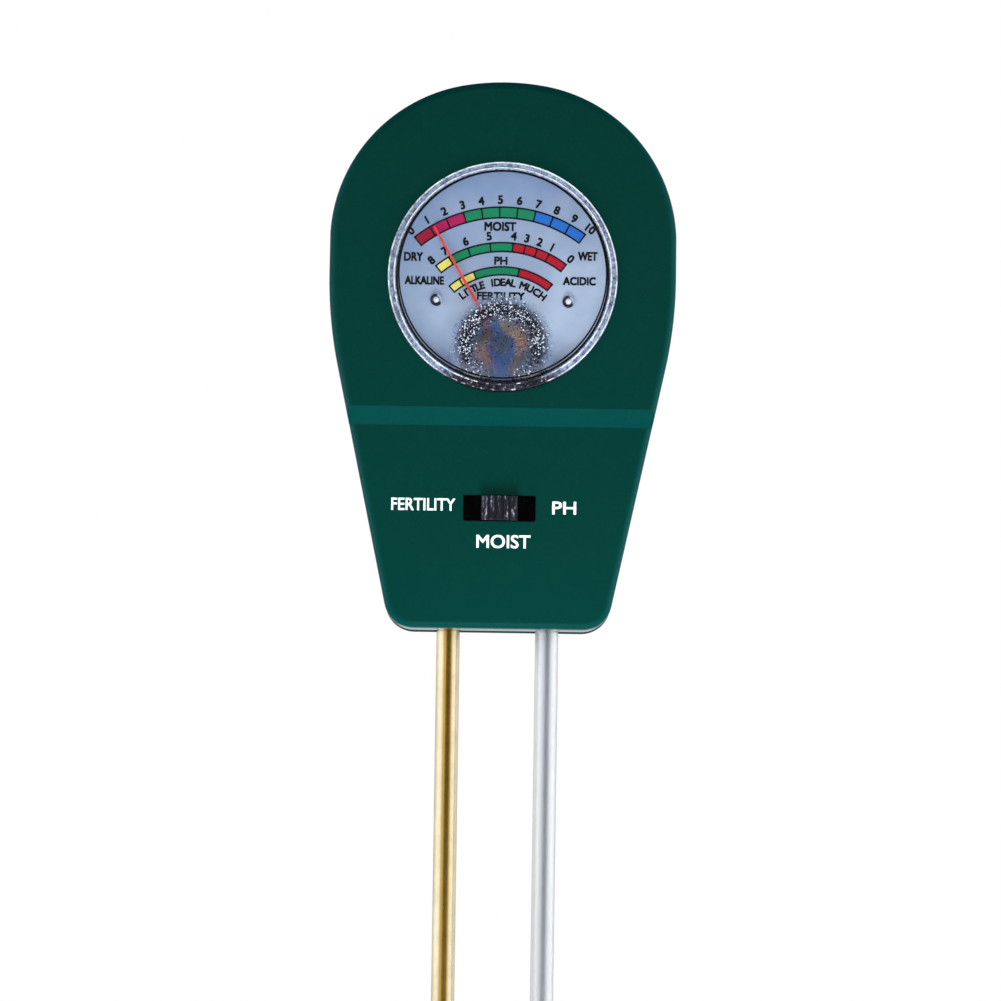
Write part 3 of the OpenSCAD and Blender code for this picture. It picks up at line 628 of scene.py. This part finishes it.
def new_piece(name, points, faces, material, body=HOUSING, smooth_below=35, slot=None):
    """A mesh object from points in millimetres, with outward normals, that rides on a CAD body."""
    mesh = bpy.data.meshes.new(name)
    mesh.from_pydata([Vector(p) * MM for p in points], [], faces)
    bm = bmesh.new()
    bm.from_mesh(mesh)
    bmesh.ops.recalc_face_normals(bm, faces=bm.faces)
    bm.to_mesh(mesh)
    bm.free()
    obj = linked(name, mesh)
    mesh.materials.append(material)
    soften(obj, smooth_below)
    if body is not None:
        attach(obj, body)
    return obj


def soften(obj, smooth_below):
    """Shades smoothly across edges that bend by less than smooth_below degrees."""
    obj.data.shade_smooth()
    obj.data.set_sharp_from_angle(angle=math.radians(smooth_below))


def loft(rings, closed=False):
    """Points and faces that join rings of equal length; open ends are capped."""
    n = len(rings[0])
    points = [p for ring in rings for p in ring]
    faces = []
    count = len(rings)
    for i in range(count if closed else count - 1):
        a, b = i * n, (i + 1) % count * n
        faces += [(a + j, a + (j + 1) % n, b + (j + 1) % n, b + j) for j in range(n)]
    if not closed:
        faces += [tuple(range(n))[::-1], tuple(range(len(points) - n, len(points)))]
    return points, faces


def circle(count, turn=0):
    """Angles of evenly spaced points round a circle, the first one turn steps on."""
    return [2 * math.pi * (i + turn) / count for i in range(count)]


def lathe(profile, at, axis="Y", steps=96, closed=False):
    """Turns (radius, distance along the axis) points about an axis through at."""
    rings = []
    for radius, along in profile:
        ring = []
        for a in circle(steps):
            u, v = radius * math.cos(a), radius * math.sin(a)
            ring.append((at[0] + u, along, at[1] + v) if axis == "Y" else (at[0] + u, at[1] + v, along))
        rings.append(ring)
    return loft(rings, closed)


def rounded(x, y, r, from_deg, to_deg, steps=6):
    """Points of a round, for a profile."""
    angles = [math.radians(from_deg + (to_deg - from_deg) * i / steps) for i in range(steps + 1)]
    return [(x + r * math.cos(a), y + r * math.sin(a)) for a in angles]


def rounded_box(x, y, half_x, half_y, corner, steps):
    """Outline of a rectangle about (x, y) with round corners."""
    ring = []
    for sx, sy, a in ((1, 1, 0), (-1, 1, 90), (-1, -1, 180), (1, -1, 270)):
        ring += rounded(x + sx * (half_x - corner), y + sy * (half_y - corner), corner, a, a + 90, steps)
    return ring


def merge(parts):
    """Joins several (points, faces) into one."""
    points, faces = [], []
    for more_points, more_faces in parts:
        base = len(points)
        points += more_points
        faces += [tuple(base + i for i in face) for face in more_faces]
    return points, faces


def prism_x(half, profile):
    """A shape drawn in Y and Z, across the width."""
    return loft([[(x, y, z) for y, z in profile] for x in (-half, half)])


def cut(obj, shape, operation="DIFFERENCE"):
    """Exact boolean of obj with a (points, faces) shape."""
    tool = new_piece("tool", *shape, None, body=None)
    step = obj.modifiers.new(operation, "BOOLEAN")
    step.object, step.operation, step.solver = tool, operation, "EXACT"
    bake(obj)
    bpy.data.objects.remove(tool)


def bake(obj):
    """Replaces obj's mesh by what its modifiers make of it."""
    depsgraph = bpy.context.evaluated_depsgraph_get()
    made = bpy.data.meshes.new_from_object(obj.evaluated_get(depsgraph))
    obj.modifiers.clear()
    obj.data = made


# ---------- housing ----------

def outline(inset):
    """The head's outline, moved in by inset, as (x, z) points."""
    tilt = math.radians(SIDE_TILT)
    end = math.radians(SHOULDER_END)
    shoulder_r = half_w - SHOULDER_X
    top_r = shoulder_r + SHOULDER_X / math.cos(end)
    top_z = head_h - top_r
    shoulder_z = top_z + SHOULDER_X * math.tan(end)
    side_x = half_w - SIDE_ARC_R + SIDE_ARC_R * math.cos(tilt)
    side_z = SIDE_ARC_Z - SIDE_ARC_R * math.sin(tilt)
    corner_x = side_x - (side_z - CORNER_R) * math.tan(tilt) - CORNER_R / math.cos(tilt)
    # Each arc's centre, radius, first and last angle and steps, from the bottom corner up
    arcs = [
        (corner_x, CORNER_R, CORNER_R, -90, -SIDE_TILT, 12),
        (half_w - SIDE_ARC_R, SIDE_ARC_Z, SIDE_ARC_R, -SIDE_TILT, 0, 14),
        (SHOULDER_X, shoulder_z, shoulder_r, 3, SHOULDER_END, 36),
        (0, top_z, top_r, SHOULDER_END + 2, 88, 5),
    ]
    right = [p for x, z, r, first, last, steps in arcs for p in rounded(x, z, r - inset, first, last, steps)]
    return right + [(0, head_h - inset)] + [(-x, z) for x, z in reversed(right)]


def slab_shape(stations):
    """Lofts the outline through (y, inset) stations."""
    return loft([[(x, y, z) for x, z in outline(inset)] for y, inset in stations])


def shell_stations(end_y, r):
    """(y, inset) stations from the parting seam out to a face at end_y, with an edge rounded by r."""
    way = math.copysign(1, end_y)
    angles = [math.radians(v) for v in range(0, 91, 9)]
    edge = [(end_y - way * r + way * r * math.sin(a), r - r * math.cos(a)) for a in angles]
    return [(0, SEAM), (way * SEAM, 0)] + edge


def ramp_profile(inset):
    """Everything above the sloping band between the two faces, moved in by inset."""
    slope = math.hypot(FACE_STEP, RAMP_HI - RAMP_LO)
    dy = inset * (RAMP_HI - RAMP_LO) / slope
    dz = inset * FACE_STEP / slope
    run = (RAMP_HI - RAMP_LO) / FACE_STEP
    beyond = 2
    clear_y, clear_z = face_y - beyond, head_h + 5
    return [(1, RAMP_LO + dz), (low_y + dy, RAMP_LO + dz), (face_y + dy, RAMP_HI + dz),
            (clear_y, RAMP_HI + dz + (beyond + dy) * run), (clear_y, clear_z), (1, clear_z)]


def above_ramp(stations, inset):
    """The part of a slab that lies above the sloping band moved in by inset."""
    block = new_piece("block", *slab_shape(stations), None, body=None)
    cut(block, prism_x(half_w + 5, ramp_profile(inset)), "INTERSECT")
    shape = [v.co / MM for v in block.data.vertices], [tuple(p.vertices) for p in block.data.polygons]
    bpy.data.objects.remove(block)
    return shape


def rod_y(r, y0, y1, at, steps=48):
    return lathe([(r, y0), (r, y1)], at, steps=steps)


def cut_probe_holes(shell):
    hole = [(probe_r + PROBE_GAP, -1), (probe_r + PROBE_GAP, WALL + 1)]
    for side in (-1, 1):
        cut(shell, lathe(hole, (side * probe_x, 0), "Z", 48))


def slot_shape():
    """The switch's opening in the lower face, with small round corners."""
    ring = rounded_box(0, switch_z, SLOT_LEN / 2, SLOT_H / 2, 0.35, 4)
    return loft([[(x, y, z) for x, z in ring] for y in (low_y - 1, low_y + WALL + 1)])


def build_front_shell():
    """Lower face and raised upper face joined by the sloping band, hollow, with screw posts inside."""
    low_slab = slab_shape(shell_stations(low_y, EDGE_R))
    shell = new_piece("front_shell_skin", *low_slab, finishes["housing_plastic"])
    cut(shell, above_ramp(shell_stations(face_y, EDGE_R), 0), "UNION")
    cut(shell, slab_shape([(low_y + WALL, WALL), (1, WALL)]))
    cut(shell, above_ramp([(face_y + WALL, WALL), (1, WALL)], WALL))
    for spot in SCREW_SPOTS:
        front = face_y if spot[1] > RAMP_HI else low_y
        cut(shell, rod_y(FRONT_POST_R, front + WALL - OVERLAP, -0.02, spot), "UNION")
        cut(shell, rod_y(SCREW_PILOT_R, -SCREW_SEAT, 1, spot))
    cut(shell, rod_y(lens_r + LENS_GAP, face_y - 1, low_y + 2, (0, lens_z), 128))
    cut(shell, slot_shape())
    cut_probe_holes(shell)
    round_shell(shell, 0.14)
    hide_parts("front_shell")


def build_rear_shell():
    """Plain back with a broad round, and posts whose wells take the screws from behind."""
    slab = slab_shape(shell_stations(rear_y, REAR_ROUND))
    shell = new_piece("rear_shell_skin", *slab, finishes["rear_plastic"])
    inner = [(-1, WALL), (rear_y - REAR_ROUND - 1, WALL), (rear_y - WALL, WALL + REAR_ROUND - 1)]
    cut(shell, slab_shape(inner))
    for spot in SCREW_SPOTS:
        cut(shell, rod_y(REAR_POST_R, 0, rear_y - WALL + OVERLAP, spot), "UNION")
        cut(shell, rod_y(SCREW_CLEAR_R, -1, rear_y, spot))
        cut(shell, rod_y(SCREW_WELL_R, SCREW_SEAT, rear_y + 1, spot, 64))
    cut_probe_holes(shell)
    round_shell(shell, 0.2)
    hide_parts("rear_shell")


def round_edges(obj, width, segments=3, angle=30):
    """Small rounds on the sharp edges, with shading that follows the large faces."""
    bevel = obj.modifiers.new("round", "BEVEL")
    bevel.width, bevel.segments, bevel.limit_method = width * MM, segments, "ANGLE"
    bevel.angle_limit = math.radians(angle)
    bevel.harden_normals = True
    return bevel


def round_shell(shell, width):
    """As round_edges, with arcs where the rounds meet."""
    round_edges(shell, width).miter_outer = "MITER_ARC"
    soften(shell, 40)


# ---------- lens ----------

def ring_piece(name, profile, material, steps=192, rise=0):
    """A ring of the lens, that casts no shadow on the dial."""
    shape = lathe(profile, (0, lens_z + rise), steps=steps, closed=True)
    new_piece(name, *shape, material, slot="clear_plastic").visible_shadow = False


def bead(r, y, width, height):
    """Profile of a low rounded ridge round the lens."""
    base = [(r + width / 2, y + 0.1), (r - width / 2, y + 0.1)]
    crown = [(r - width / 2 * math.cos(a), y - height * math.sin(a))
             for a in [math.pi * i / 8 for i in range(1, 8)]]
    return base + crown


def build_lens():
    """Rim with two ridges pale as painted highlights, the flange behind the case, the clear window and the inner
    wall, dark as painted shadow.
    """
    shoulder_y = lens_front + 0.55
    rim = [(lens_r, lens_back)] + rounded(lens_r - 0.3, shoulder_y + 0.3, 0.3, 0, -90, 6)
    rim += [(window_r + 0.6, shoulder_y - 0.02), (window_r + 0.5, lens_front + 0.3)]
    rim += rounded(window_r + 0.24, lens_front + 0.24, 0.24, -60, -180, 6)
    rim += [(window_r, lens_front + window_t), (window_r + 0.1, lens_back)]
    rim_finish = rim_plastic("rim_plastic")
    ring_piece("lens_rim", rim, rim_finish)
    bead_finish = bead_plastic("bead_plastic")
    ring_piece("lens_bead_outer", bead(lens_r - 0.17, shoulder_y + 0.02, 0.26, 0.14), bead_finish)
    ring_piece("lens_bead_inner", bead(window_r + 0.3, lens_front + 0.1, 0.28, 0.12), bead_finish)
    flange_front = lens_back - 1.1
    flange = [(lens_r, lens_back), (flange_r, lens_back), (flange_r, flange_front), (lens_r, flange_front)]
    ring_piece("lens_flange", flange, rim_finish)

    window = [(0.001, lens_front), (window_r * 0.6, lens_front + 0.02), (window_r - 0.5, lens_front + 0.06),
              (window_r - 0.1, lens_front + 0.2), (window_r - 0.1, lens_front + window_t),
              (0.001, lens_front + window_t)]
    pane = new_piece("lens_window", *lathe(window, (0, lens_z), steps=128), finishes["clear_plastic"],
                     slot="clear_plastic")
    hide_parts("lens")

    front = lens_front + window_t + 0.02
    back = front + 0.6
    wall_shadow_finish = skirt_plastic("skirt_plastic")
    # Two rings of painted shadow inside the window's edge; the inner one sits higher, so the dark band is wider at
    # the bottom.
    skirts = (("outer", window_r + 0.02, 0.42, 0.12), ("inner", window_r - 0.4, 0.3, 0.42))
    for name, r, width, rise in skirts:
        wall = [(r, front), (r, back), (r - width, back), (r - width, front)]
        ring_piece("lens_skirt_" + name, wall, wall_shadow_finish, 160, rise)


FROST_R = 11


def in_frost(x, z):
    """The patch is a disc about the pivot, run straight down to the edge of the window."""
    near = math.hypot(x, z - pivot_z) <= FROST_R or (abs(x) <= FROST_R and z < pivot_z)
    return near and math.hypot(x, z - lens_z) <= window_r - 0.5


def build_rivet_crowns():
    """Small dome that closes the end of each hollow rivet, near-white as a painted highlight."""
    y = rivet_lo.y + 0.06
    crown = [(0.001, y - 0.14), (0.2, y - 0.12), (0.38, y - 0.06), (0.5, y + 0.04)]
    profile = crown + [(0.5, y + 0.1), (0.001, y + 0.1)]
    domes = [lathe(profile, (side * RIVET_X, rivet_z), steps=24) for side in (-1, 1)]
    # Near-white enamel as a painted highlight.
    bright = enamel("rivet_crown", srgb(240, 243, 248), 0.2)
    new_piece("rivet_crowns", *merge(domes), bright, slot="screw_steel")


def build_frost():
    """The textured patch behind the window, over the movement: a thin pebbled sheet."""
    back = lens_front + window_t + 0.06
    step = 0.22
    count = int(FROST_R / step) + 1
    grid = {}
    points = []
    for i in range(-count, count + 1):
        for k in range(-count, count + 1):
            x, z = i * step, pivot_z + k * step
            if in_frost(x, z):
                grid[i, k] = len(points)
                points.append((x, back + rng.uniform(0, 0.09), z))
    faces = [(grid[i, k], grid[i + 1, k], grid[i + 1, k + 1], grid[i, k + 1]) for i, k in grid
             if (i + 1, k) in grid and (i, k + 1) in grid and (i + 1, k + 1) in grid]
    new_piece("lens_frost", points, faces, frosted("frosted_plastic"), slot="clear_plastic")


def dome(at, r, height):
    """A low droplet on the window's front, as (points, faces)."""
    x, y, z = at
    angles = circle(7, rng.uniform(0, 1))
    rings = [[(x + r * share * math.cos(a), y - height * rise, z + r * share * math.sin(a)) for a in angles]
             for share, rise in ((1, 0), (0.8, 0.6), (0.35, 0.95))]
    return loft(rings)


def build_droplets():
    """Fine beads on the frosted patch, thickest in a ring near its edge and thin in its lower part."""
    y = lens_front + 0.02
    kinds = {"bright": (800, 1.0, droplet("droplet_bright", srgb(206, 212, 230), 0.25, 0.5)),
             "dark": (1300, 0.78, droplet("droplet_dark", srgb(8, 9, 18), 0.5, 0.1))}
    for kind, (count, ring_share, finish) in kinds.items():
        domes = []
        for _ in range(count):
            in_ring = rng.random() < ring_share
            r = rng.gauss(7.0, 0.85) if in_ring else 7.6 * math.sqrt(rng.random())
            a = rng.uniform(-math.pi, math.pi)
            x, z = r * math.sin(a), pivot_z + r * math.cos(a)
            keep = 1 if math.cos(a) > -0.25 else 0.25
            if rng.random() < keep and math.hypot(x, z - lens_z) < window_r - 1.0:
                domes.append(dome((x, y, z), rng.uniform(0.07, 0.15), 0.04))
        new_piece("lens_beads_" + kind, *merge(domes), finish, slot="clear_plastic")


# ---------- dial printing ----------

PRINT_T = 0.03
LINE = 0.3


def on_dial(r, degrees):
    a = math.radians(degrees)
    return r * math.sin(a), pivot_z + r * math.cos(a)


def sector(r0, r1, a0, a1, y0, y1):
    """A flat arc-shaped patch between two radii and two angles about the pivot."""
    steps = max(1, int(abs(a1 - a0) / 1.5))
    angles = [a0 + (a1 - a0) * i / steps for i in range(steps + 1)]
    rings = []
    for a in angles:
        inner, outer = on_dial(r0, a), on_dial(r1, a)
        rings.append([(inner[0], y0, inner[1]), (outer[0], y0, outer[1]),
                      (outer[0], y1, outer[1]), (inner[0], y1, inner[1])])
    return loft(rings)


def glyphs(text, height, width):
    """A word's solid letters centred on the origin: X to the right, Y up, Z from 0 to 1 to the viewer."""
    curve = bpy.data.curves.new("word", "FONT")
    curve.body = text
    curve.extrude = 0.5
    curve.resolution_u = 4
    holder = linked("word", curve)
    mesh = bpy.data.meshes.new_from_object(holder.evaluated_get(bpy.context.evaluated_depsgraph_get()))
    points = [v.co.copy() for v in mesh.vertices]
    faces = [tuple(p.vertices) for p in mesh.polygons]
    bpy.data.objects.remove(holder)
    xs = [p.x for p in points]
    ys = [p.y for p in points]
    scale_y = height / (max(ys) - min(ys))
    scale_x = width / (max(xs) - min(xs)) if width else scale_y
    middle_x = (max(xs) + min(xs)) / 2
    middle_y = (max(ys) + min(ys)) / 2
    return [((p.x - middle_x) * scale_x, (p.y - middle_y) * scale_y, p.z + 0.5) for p in points], faces


def word(text, x, z, surface_y, height, width=None, turn=0, bold=0.17, thick=PRINT_T):
    """Letters standing proud of a surface that faces the front, turned clockwise and thickened by bold."""
    points, faces = glyphs(text, height - bold, width and width - bold)
    c, s = math.cos(math.radians(turn)), math.sin(math.radians(turn))
    strokes = []
    for i, (right, up) in enumerate(((1, 1), (-1, 1), (1, -1), (-1, -1))):
        du, dv = bold / 2 * right, bold / 2 * up
        proud = thick * (1 + 0.04 * i)
        strokes.append(([(x + (u + du) * c + (v + dv) * s, surface_y - w * proud,
                          z - (u + du) * s + (v + dv) * c) for u, v, w in points], faces))
    return merge(strokes)


def ink_piece(name, shapes, colour, flake=0.1):
    ink = printed_ink(name + "_ink", colour, flake)
    new_piece(name, *merge(shapes), ink, smooth_below=20, slot="dial_print")


BLACK = srgb(14, 14, 18)
INKS = {
    "crimson": srgb(160, 18, 52), "magenta": srgb(176, 30, 88), "green": srgb(22, 132, 90),
    "blue": srgb(40, 108, 196), "yellow": srgb(236, 222, 112), "red": srgb(180, 20, 44),
}
MOIST_STEP = 7.46
MOIST_FROM = -39.0
BANDS = {
    "moist": dict(r=(24.45, 26.45), marks=[MOIST_FROM + MOIST_STEP * i for i in range(11)],
                  inks=["crimson"] + ["magenta"] * 2 + ["green"] * 4 + ["blue"] * 3),
    "ph": dict(r=(18.1, 19.75), marks=[-39.6, -31.2, -19.6, -7.3, 5.4, 12.2, 19.0, 25.9, 37.0],
               inks=["yellow"] + ["green"] * 3 + ["red"] * 4),
    "fertility": dict(r=(13.7, 15.2), marks=[-41.2, -32.6, -21.2, 11.8, 37.8],
                      inks=["yellow", "yellow", "green", "red"]),
}


def build_bands():
    """Coloured cells under black outlines, one piece for each colour."""
    cells = {}
    lines = []
    under, over = dial_y - PRINT_T, dial_y - 2 * PRINT_T
    for band in BANDS.values():
        r0, r1 = band["r"]
        marks = band["marks"]
        for a0, a1, ink in zip(marks, marks[1:], band["inks"]):
            cells.setdefault(ink, []).append(sector(r0, r1, a0, a1, dial_y, under))
        for r in (r0, r1):
            lines.append(sector(r - LINE / 2, r + LINE / 2, marks[0], marks[-1], dial_y, over))
        for mark in marks:
            half = math.degrees(LINE / 2 / r1)
            lines.append(sector(r0 - LINE / 2, r1 + LINE / 2, mark - half, mark + half, dial_y, over))
    for name, shapes in cells.items():
        ink_piece("print_" + name, shapes, INKS[name])
    ink_piece("print_outlines", lines, BLACK)


def build_lettering():
    """Scale numbers and the plain words of the three scales."""
    shapes = []

    def radial(text, r, degrees, height, width=None):
        x, z = on_dial(r, degrees)
        shapes.append(word(text, x, z, dial_y, height, width, degrees))

    for i, mark in enumerate(BANDS["moist"]["marks"]):
        radial(str(i), 27.85, mark + 0.4, 1.65)
    for text, mark in zip("876543210", BANDS["ph"]["marks"]):
        radial(text, 21.1, mark, 1.65)
    for text, middle, spread in (("LITTLE", -28, 3.9), ("IDEAL", 0.2, 4.7), ("MUCH", 28, 6.4)):
        for i, letter in enumerate(text):
            radial(letter, 12.3, middle + (i - (len(text) - 1) / 2) * spread, 1.5)
    for text, x, up, width, height in (
            ("MOIST", -0.6, 22.8, 6.0, 1.75), ("PH", -0.4, 16.35, 2.5, 1.55),
            ("FERTILITY", -0.3, 9.7, 9.0, 1.5), ("DRY", -16.8, 16.9, 3.6, 1.7), ("WET", 15.9, 17.4, 3.7, 1.7),
            ("ALKALINE", -14.7, 12.45, 7.4, 1.6), ("ACIDIC", 14.4, 12.7, 6.2, 1.6)):
        shapes.append(word(text, x, pivot_z + up, dial_y, height, width))
    ink_piece("print_lettering", shapes, BLACK)


def build_case_labels():
    """The plain words round the switch, printed on the case in white."""
    labels = (("FERTILITY", -14.25, 0.55, 12.0, 2.3), ("PH", 12.15, 0.2, 4.5, 2.4),
              ("MOIST", 0.85, -6.25, 10.1, 2.5))
    shapes = [word(text, x, switch_z + up, low_y, height, width, bold=0.1, thick=0.05)
              for text, x, up, width, height in labels]
    ink_piece("case_labels", shapes, srgb(246, 248, 250), 0.04)


# ---------- movement, switch and probes ----------

def tube(path, r, sides=6):
    """A round wire along a closed path of (x, y) points, as rings of vectors."""
    rings = []
    for j, (x, y) in enumerate(path):
        ahead, behind = path[(j + 1) % len(path)], path[j - 1]
        along = Vector((ahead[0] - behind[0], ahead[1] - behind[1], 0)).normalized()
        out = Vector((along.y, -along.x, 0))
        rings.append([Vector((x, y, 0)) + (out * math.cos(a) + UP * math.sin(a)) * r for a in circle(sides)])
    return rings


def build_coil():
    """Enamelled wire wound in flat turns round the coil's former."""
    lo, hi = box_mm("coil_winding")
    width, wires, layers = 4.0, 15, 3
    half_x, half_y, middle_y = 5.9, (hi.y - lo.y) / 2, (hi.y + lo.y) / 2
    wire = width / wires
    turn = Matrix.Rotation(math.radians(-30), 3, "Y")
    shapes = []
    for layer in range(layers):
        inset = wire * (layer + 0.5)
        rings = tube(rounded_box(0, middle_y, half_x - inset, half_y - inset, 0.5, 3), wire * 0.49)
        for i in range(wires):
            up = UP * (i - (wires - 1) / 2) * wire
            turned = [[turn @ (p + up) + UP * pivot_z for p in ring] for ring in rings]
            shapes.append(loft(turned, closed=True))
    coil = new_piece("coil_wires", *merge(shapes), wound_copper("wound_copper"), POINTER, smooth_below=70)
    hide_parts("coil_winding")


def build_probe(node, slot):
    """Pointed rod with a polished barrel, a collar inside the case and a chamfered top end."""
    lo, hi = box_mm(node)
    x = (lo.x + hi.x) / 2
    bottom, top, tip = lo.z, hi.z, 9
    neck = probe_r - 0.05
    point = [(0.02, bottom), (0.3, bottom + 0.05), (0.55, bottom + 0.35)]
    point += [(0.55 + (probe_r - 0.7) * s, bottom + 0.35 + (tip - 0.85) * s) for s in (0.25, 0.5, 0.75, 1)]
    barrel = [(neck, bottom + tip - 0.2), (probe_r, bottom + tip + 0.3), (probe_r, -0.15), (neck, -0.1)]
    collar = [(neck, WALL + 0.1), (collar_r - 0.2, WALL + 0.1), (collar_r, WALL + 0.3),
              (collar_r, 5.1), (collar_r - 0.2, 5.3), (neck, 5.3)]
    profile = point + barrel + collar + [(neck, top - 0.3), (neck - 0.3, top), (0.02, top)]
    rod = new_piece(node + "_rod", *lathe(profile, (x, 0), "Z", 96), finishes[slot], slot=slot)
    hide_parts(node)


def round_cad_edges(node, width):
    """Merges the CAD mesh's split corners and rounds its sharp edges."""
    obj = frame["nodes"][node]
    obj.modifiers.new("weld", "WELD").merge_threshold = 0.001 * MM
    round_edges(obj, width, segments=2, angle=40)


# ---------- surroundings ----------

FLOOR_R = 1400


def build_floor():
    """A flat disc at the probes' points: a ring and a middle."""
    points, faces = loft([[(r * math.cos(a), r * math.sin(a), brass_lo.z) for a in circle(64)]
                          for r in (FLOOR_R, 0.4 * FLOOR_R)])
    *ring, _, middle = faces
    paint = floor_paint("floor_paint", FLOOR_R / 2, FLOOR_R - 50)
    floor = new_piece("floor", points, ring + [middle], paint, body=None)
    return floor


def build_world():
    """White to the camera. Other rays find it dim above, below and behind, and brighter at the sides."""
    world = bpy.data.worlds.new("studio")
    bpy.context.scene.world = world
    g = Graph("studio", world, "OutputWorld")
    towards = g.add("TexCoord").outputs["Generated"]
    x, y, z = g.xyz(towards)
    dark_way = (0.14, -0.99, 0)
    dot = g.add("VectorMath", {"operation": "DOT_PRODUCT"}, {0: towards, 1: dark_way})
    level = g.fade(dot.outputs["Value"], 0.87, 0.95, 1.0, 0.12)
    level = g.times(level, g.fade(y, 0.0, 0.5, 1.0, 0.68))
    above, below = (z, 0.1, 0.75, 1.0, 0.1), (z, -0.75, -0.2, 0.3, 1.0)
    left, right = (x, -0.95, -0.55, 1.35, 1.0), (x, 0.55, 0.95, 1.0, 1.25)
    for limits in (above, below, left, right):
        level = g.times(level, g.fade(*limits))
    to_camera = g.add("LightPath").outputs["Is Camera Ray"]
    shades = [g.add("Background", inputs={"Color": colour, "Strength": strength}).outputs[0]
              for colour, strength in (((0.97, 0.985, 1.0, 1), level), ((1, 1, 1, 1), 1.0))]
    g.finish(g.mix_shaders(to_camera, *shades))


def soft_light(name, location, target, size, power, colour=(1, 1, 1)):
    """A disc of light for even, diffuse light: it isn't seen itself or mirrored in glossy surfaces."""
    light = bpy.data.lights.new(name, "AREA")
    light.shape = "DISK"
    light.size = size
    light.energy = power
    light.color = colour
    holder = linked(name, light)
    holder.location = location
    holder.rotation_mode = "QUATERNION"
    holder.rotation_quaternion = (Vector(target) - Vector(location)).to_track_quat("-Z", "Y")
    holder.visible_glossy = False
    holder.visible_camera = False
    return holder


def build_lights(floor):
    """Soft light from all sides, and a low one that lifts the underside and spares the floor."""
    middle = (0, 0, 0.05)
    soft_light("front_fill", (0.25, -1.5, 0.15), middle, 1.2, 11.4)
    soft_light("left_fill", (-1.2, 0.05, -0.25), middle, 0.6, 24, (0.93, 0.98, 1.0))
    soft_light("right_fill", (1.2, 0.05, -0.1), middle, 0.6, 19, (0.93, 0.98, 1.0))
    soft_light("rear_fill", (0.5, 1.5, 0.4), middle, 1.0, 7)
    low_fill = soft_light("low_fill", (0, -0.13, -0.165), (0, -0.012, 0.02), 0.14, 0.95, (0.84, 0.97, 1.0))
    spared = bpy.data.collections.new("spared_by_low_fill")
    spared.objects.link(floor)
    spared.collection_objects[0].light_linking.link_state = "EXCLUDE"
    low_fill.light_linking.receiver_collection = spared


# The width that is seen and the camera's distance from the lower face
VIEW_W = 187.5
CAMERA_FAR = 1350
CAMERA_TILT = -3.2
CAMERA_ROLL = 0.85
AIM_X = 0.2
AIM_Z = 24.05


def build_camera():
    """Looks straight at the dial from slightly below, with the object leaning a little to the right."""
    camera = bpy.data.cameras.new("camera")
    camera.sensor_width = 36
    camera.lens = camera.sensor_width * CAMERA_FAR / VIEW_W
    camera.clip_start = 0.05
    camera.clip_end = 20
    holder = linked("camera", camera)
    tilt = math.radians(CAMERA_TILT)
    aim = Vector((AIM_X, low_y, AIM_Z)) * MM
    away = Vector((0, -math.cos(tilt), math.sin(tilt)))
    holder.location = aim + away * CAMERA_FAR * MM
    holder.rotation_mode = "QUATERNION"
    facing = (-away).to_track_quat("-Z", "Y")
    roll = Matrix.Rotation(math.radians(CAMERA_ROLL), 3, "Z").to_quaternion()
    holder.rotation_quaternion = facing @ roll
    bpy.context.scene.camera = holder


# ---------- assembly ----------

dress_cad_nodes()
build_front_shell()
build_rear_shell()
build_lens()
build_frost()
build_droplets()
build_rivet_crowns()
build_bands()
build_lettering()
build_case_labels()
build_coil()
build_probe("brass_probe", "probe_brass")
build_probe("aluminium_probe", "probe_aluminium")
round_cad_edges("switch_knob", 0.12)
floor = build_floor()
build_world()
build_lights(floor)
build_camera()
bpy.context.scene.view_settings.view_transform = "Standard"
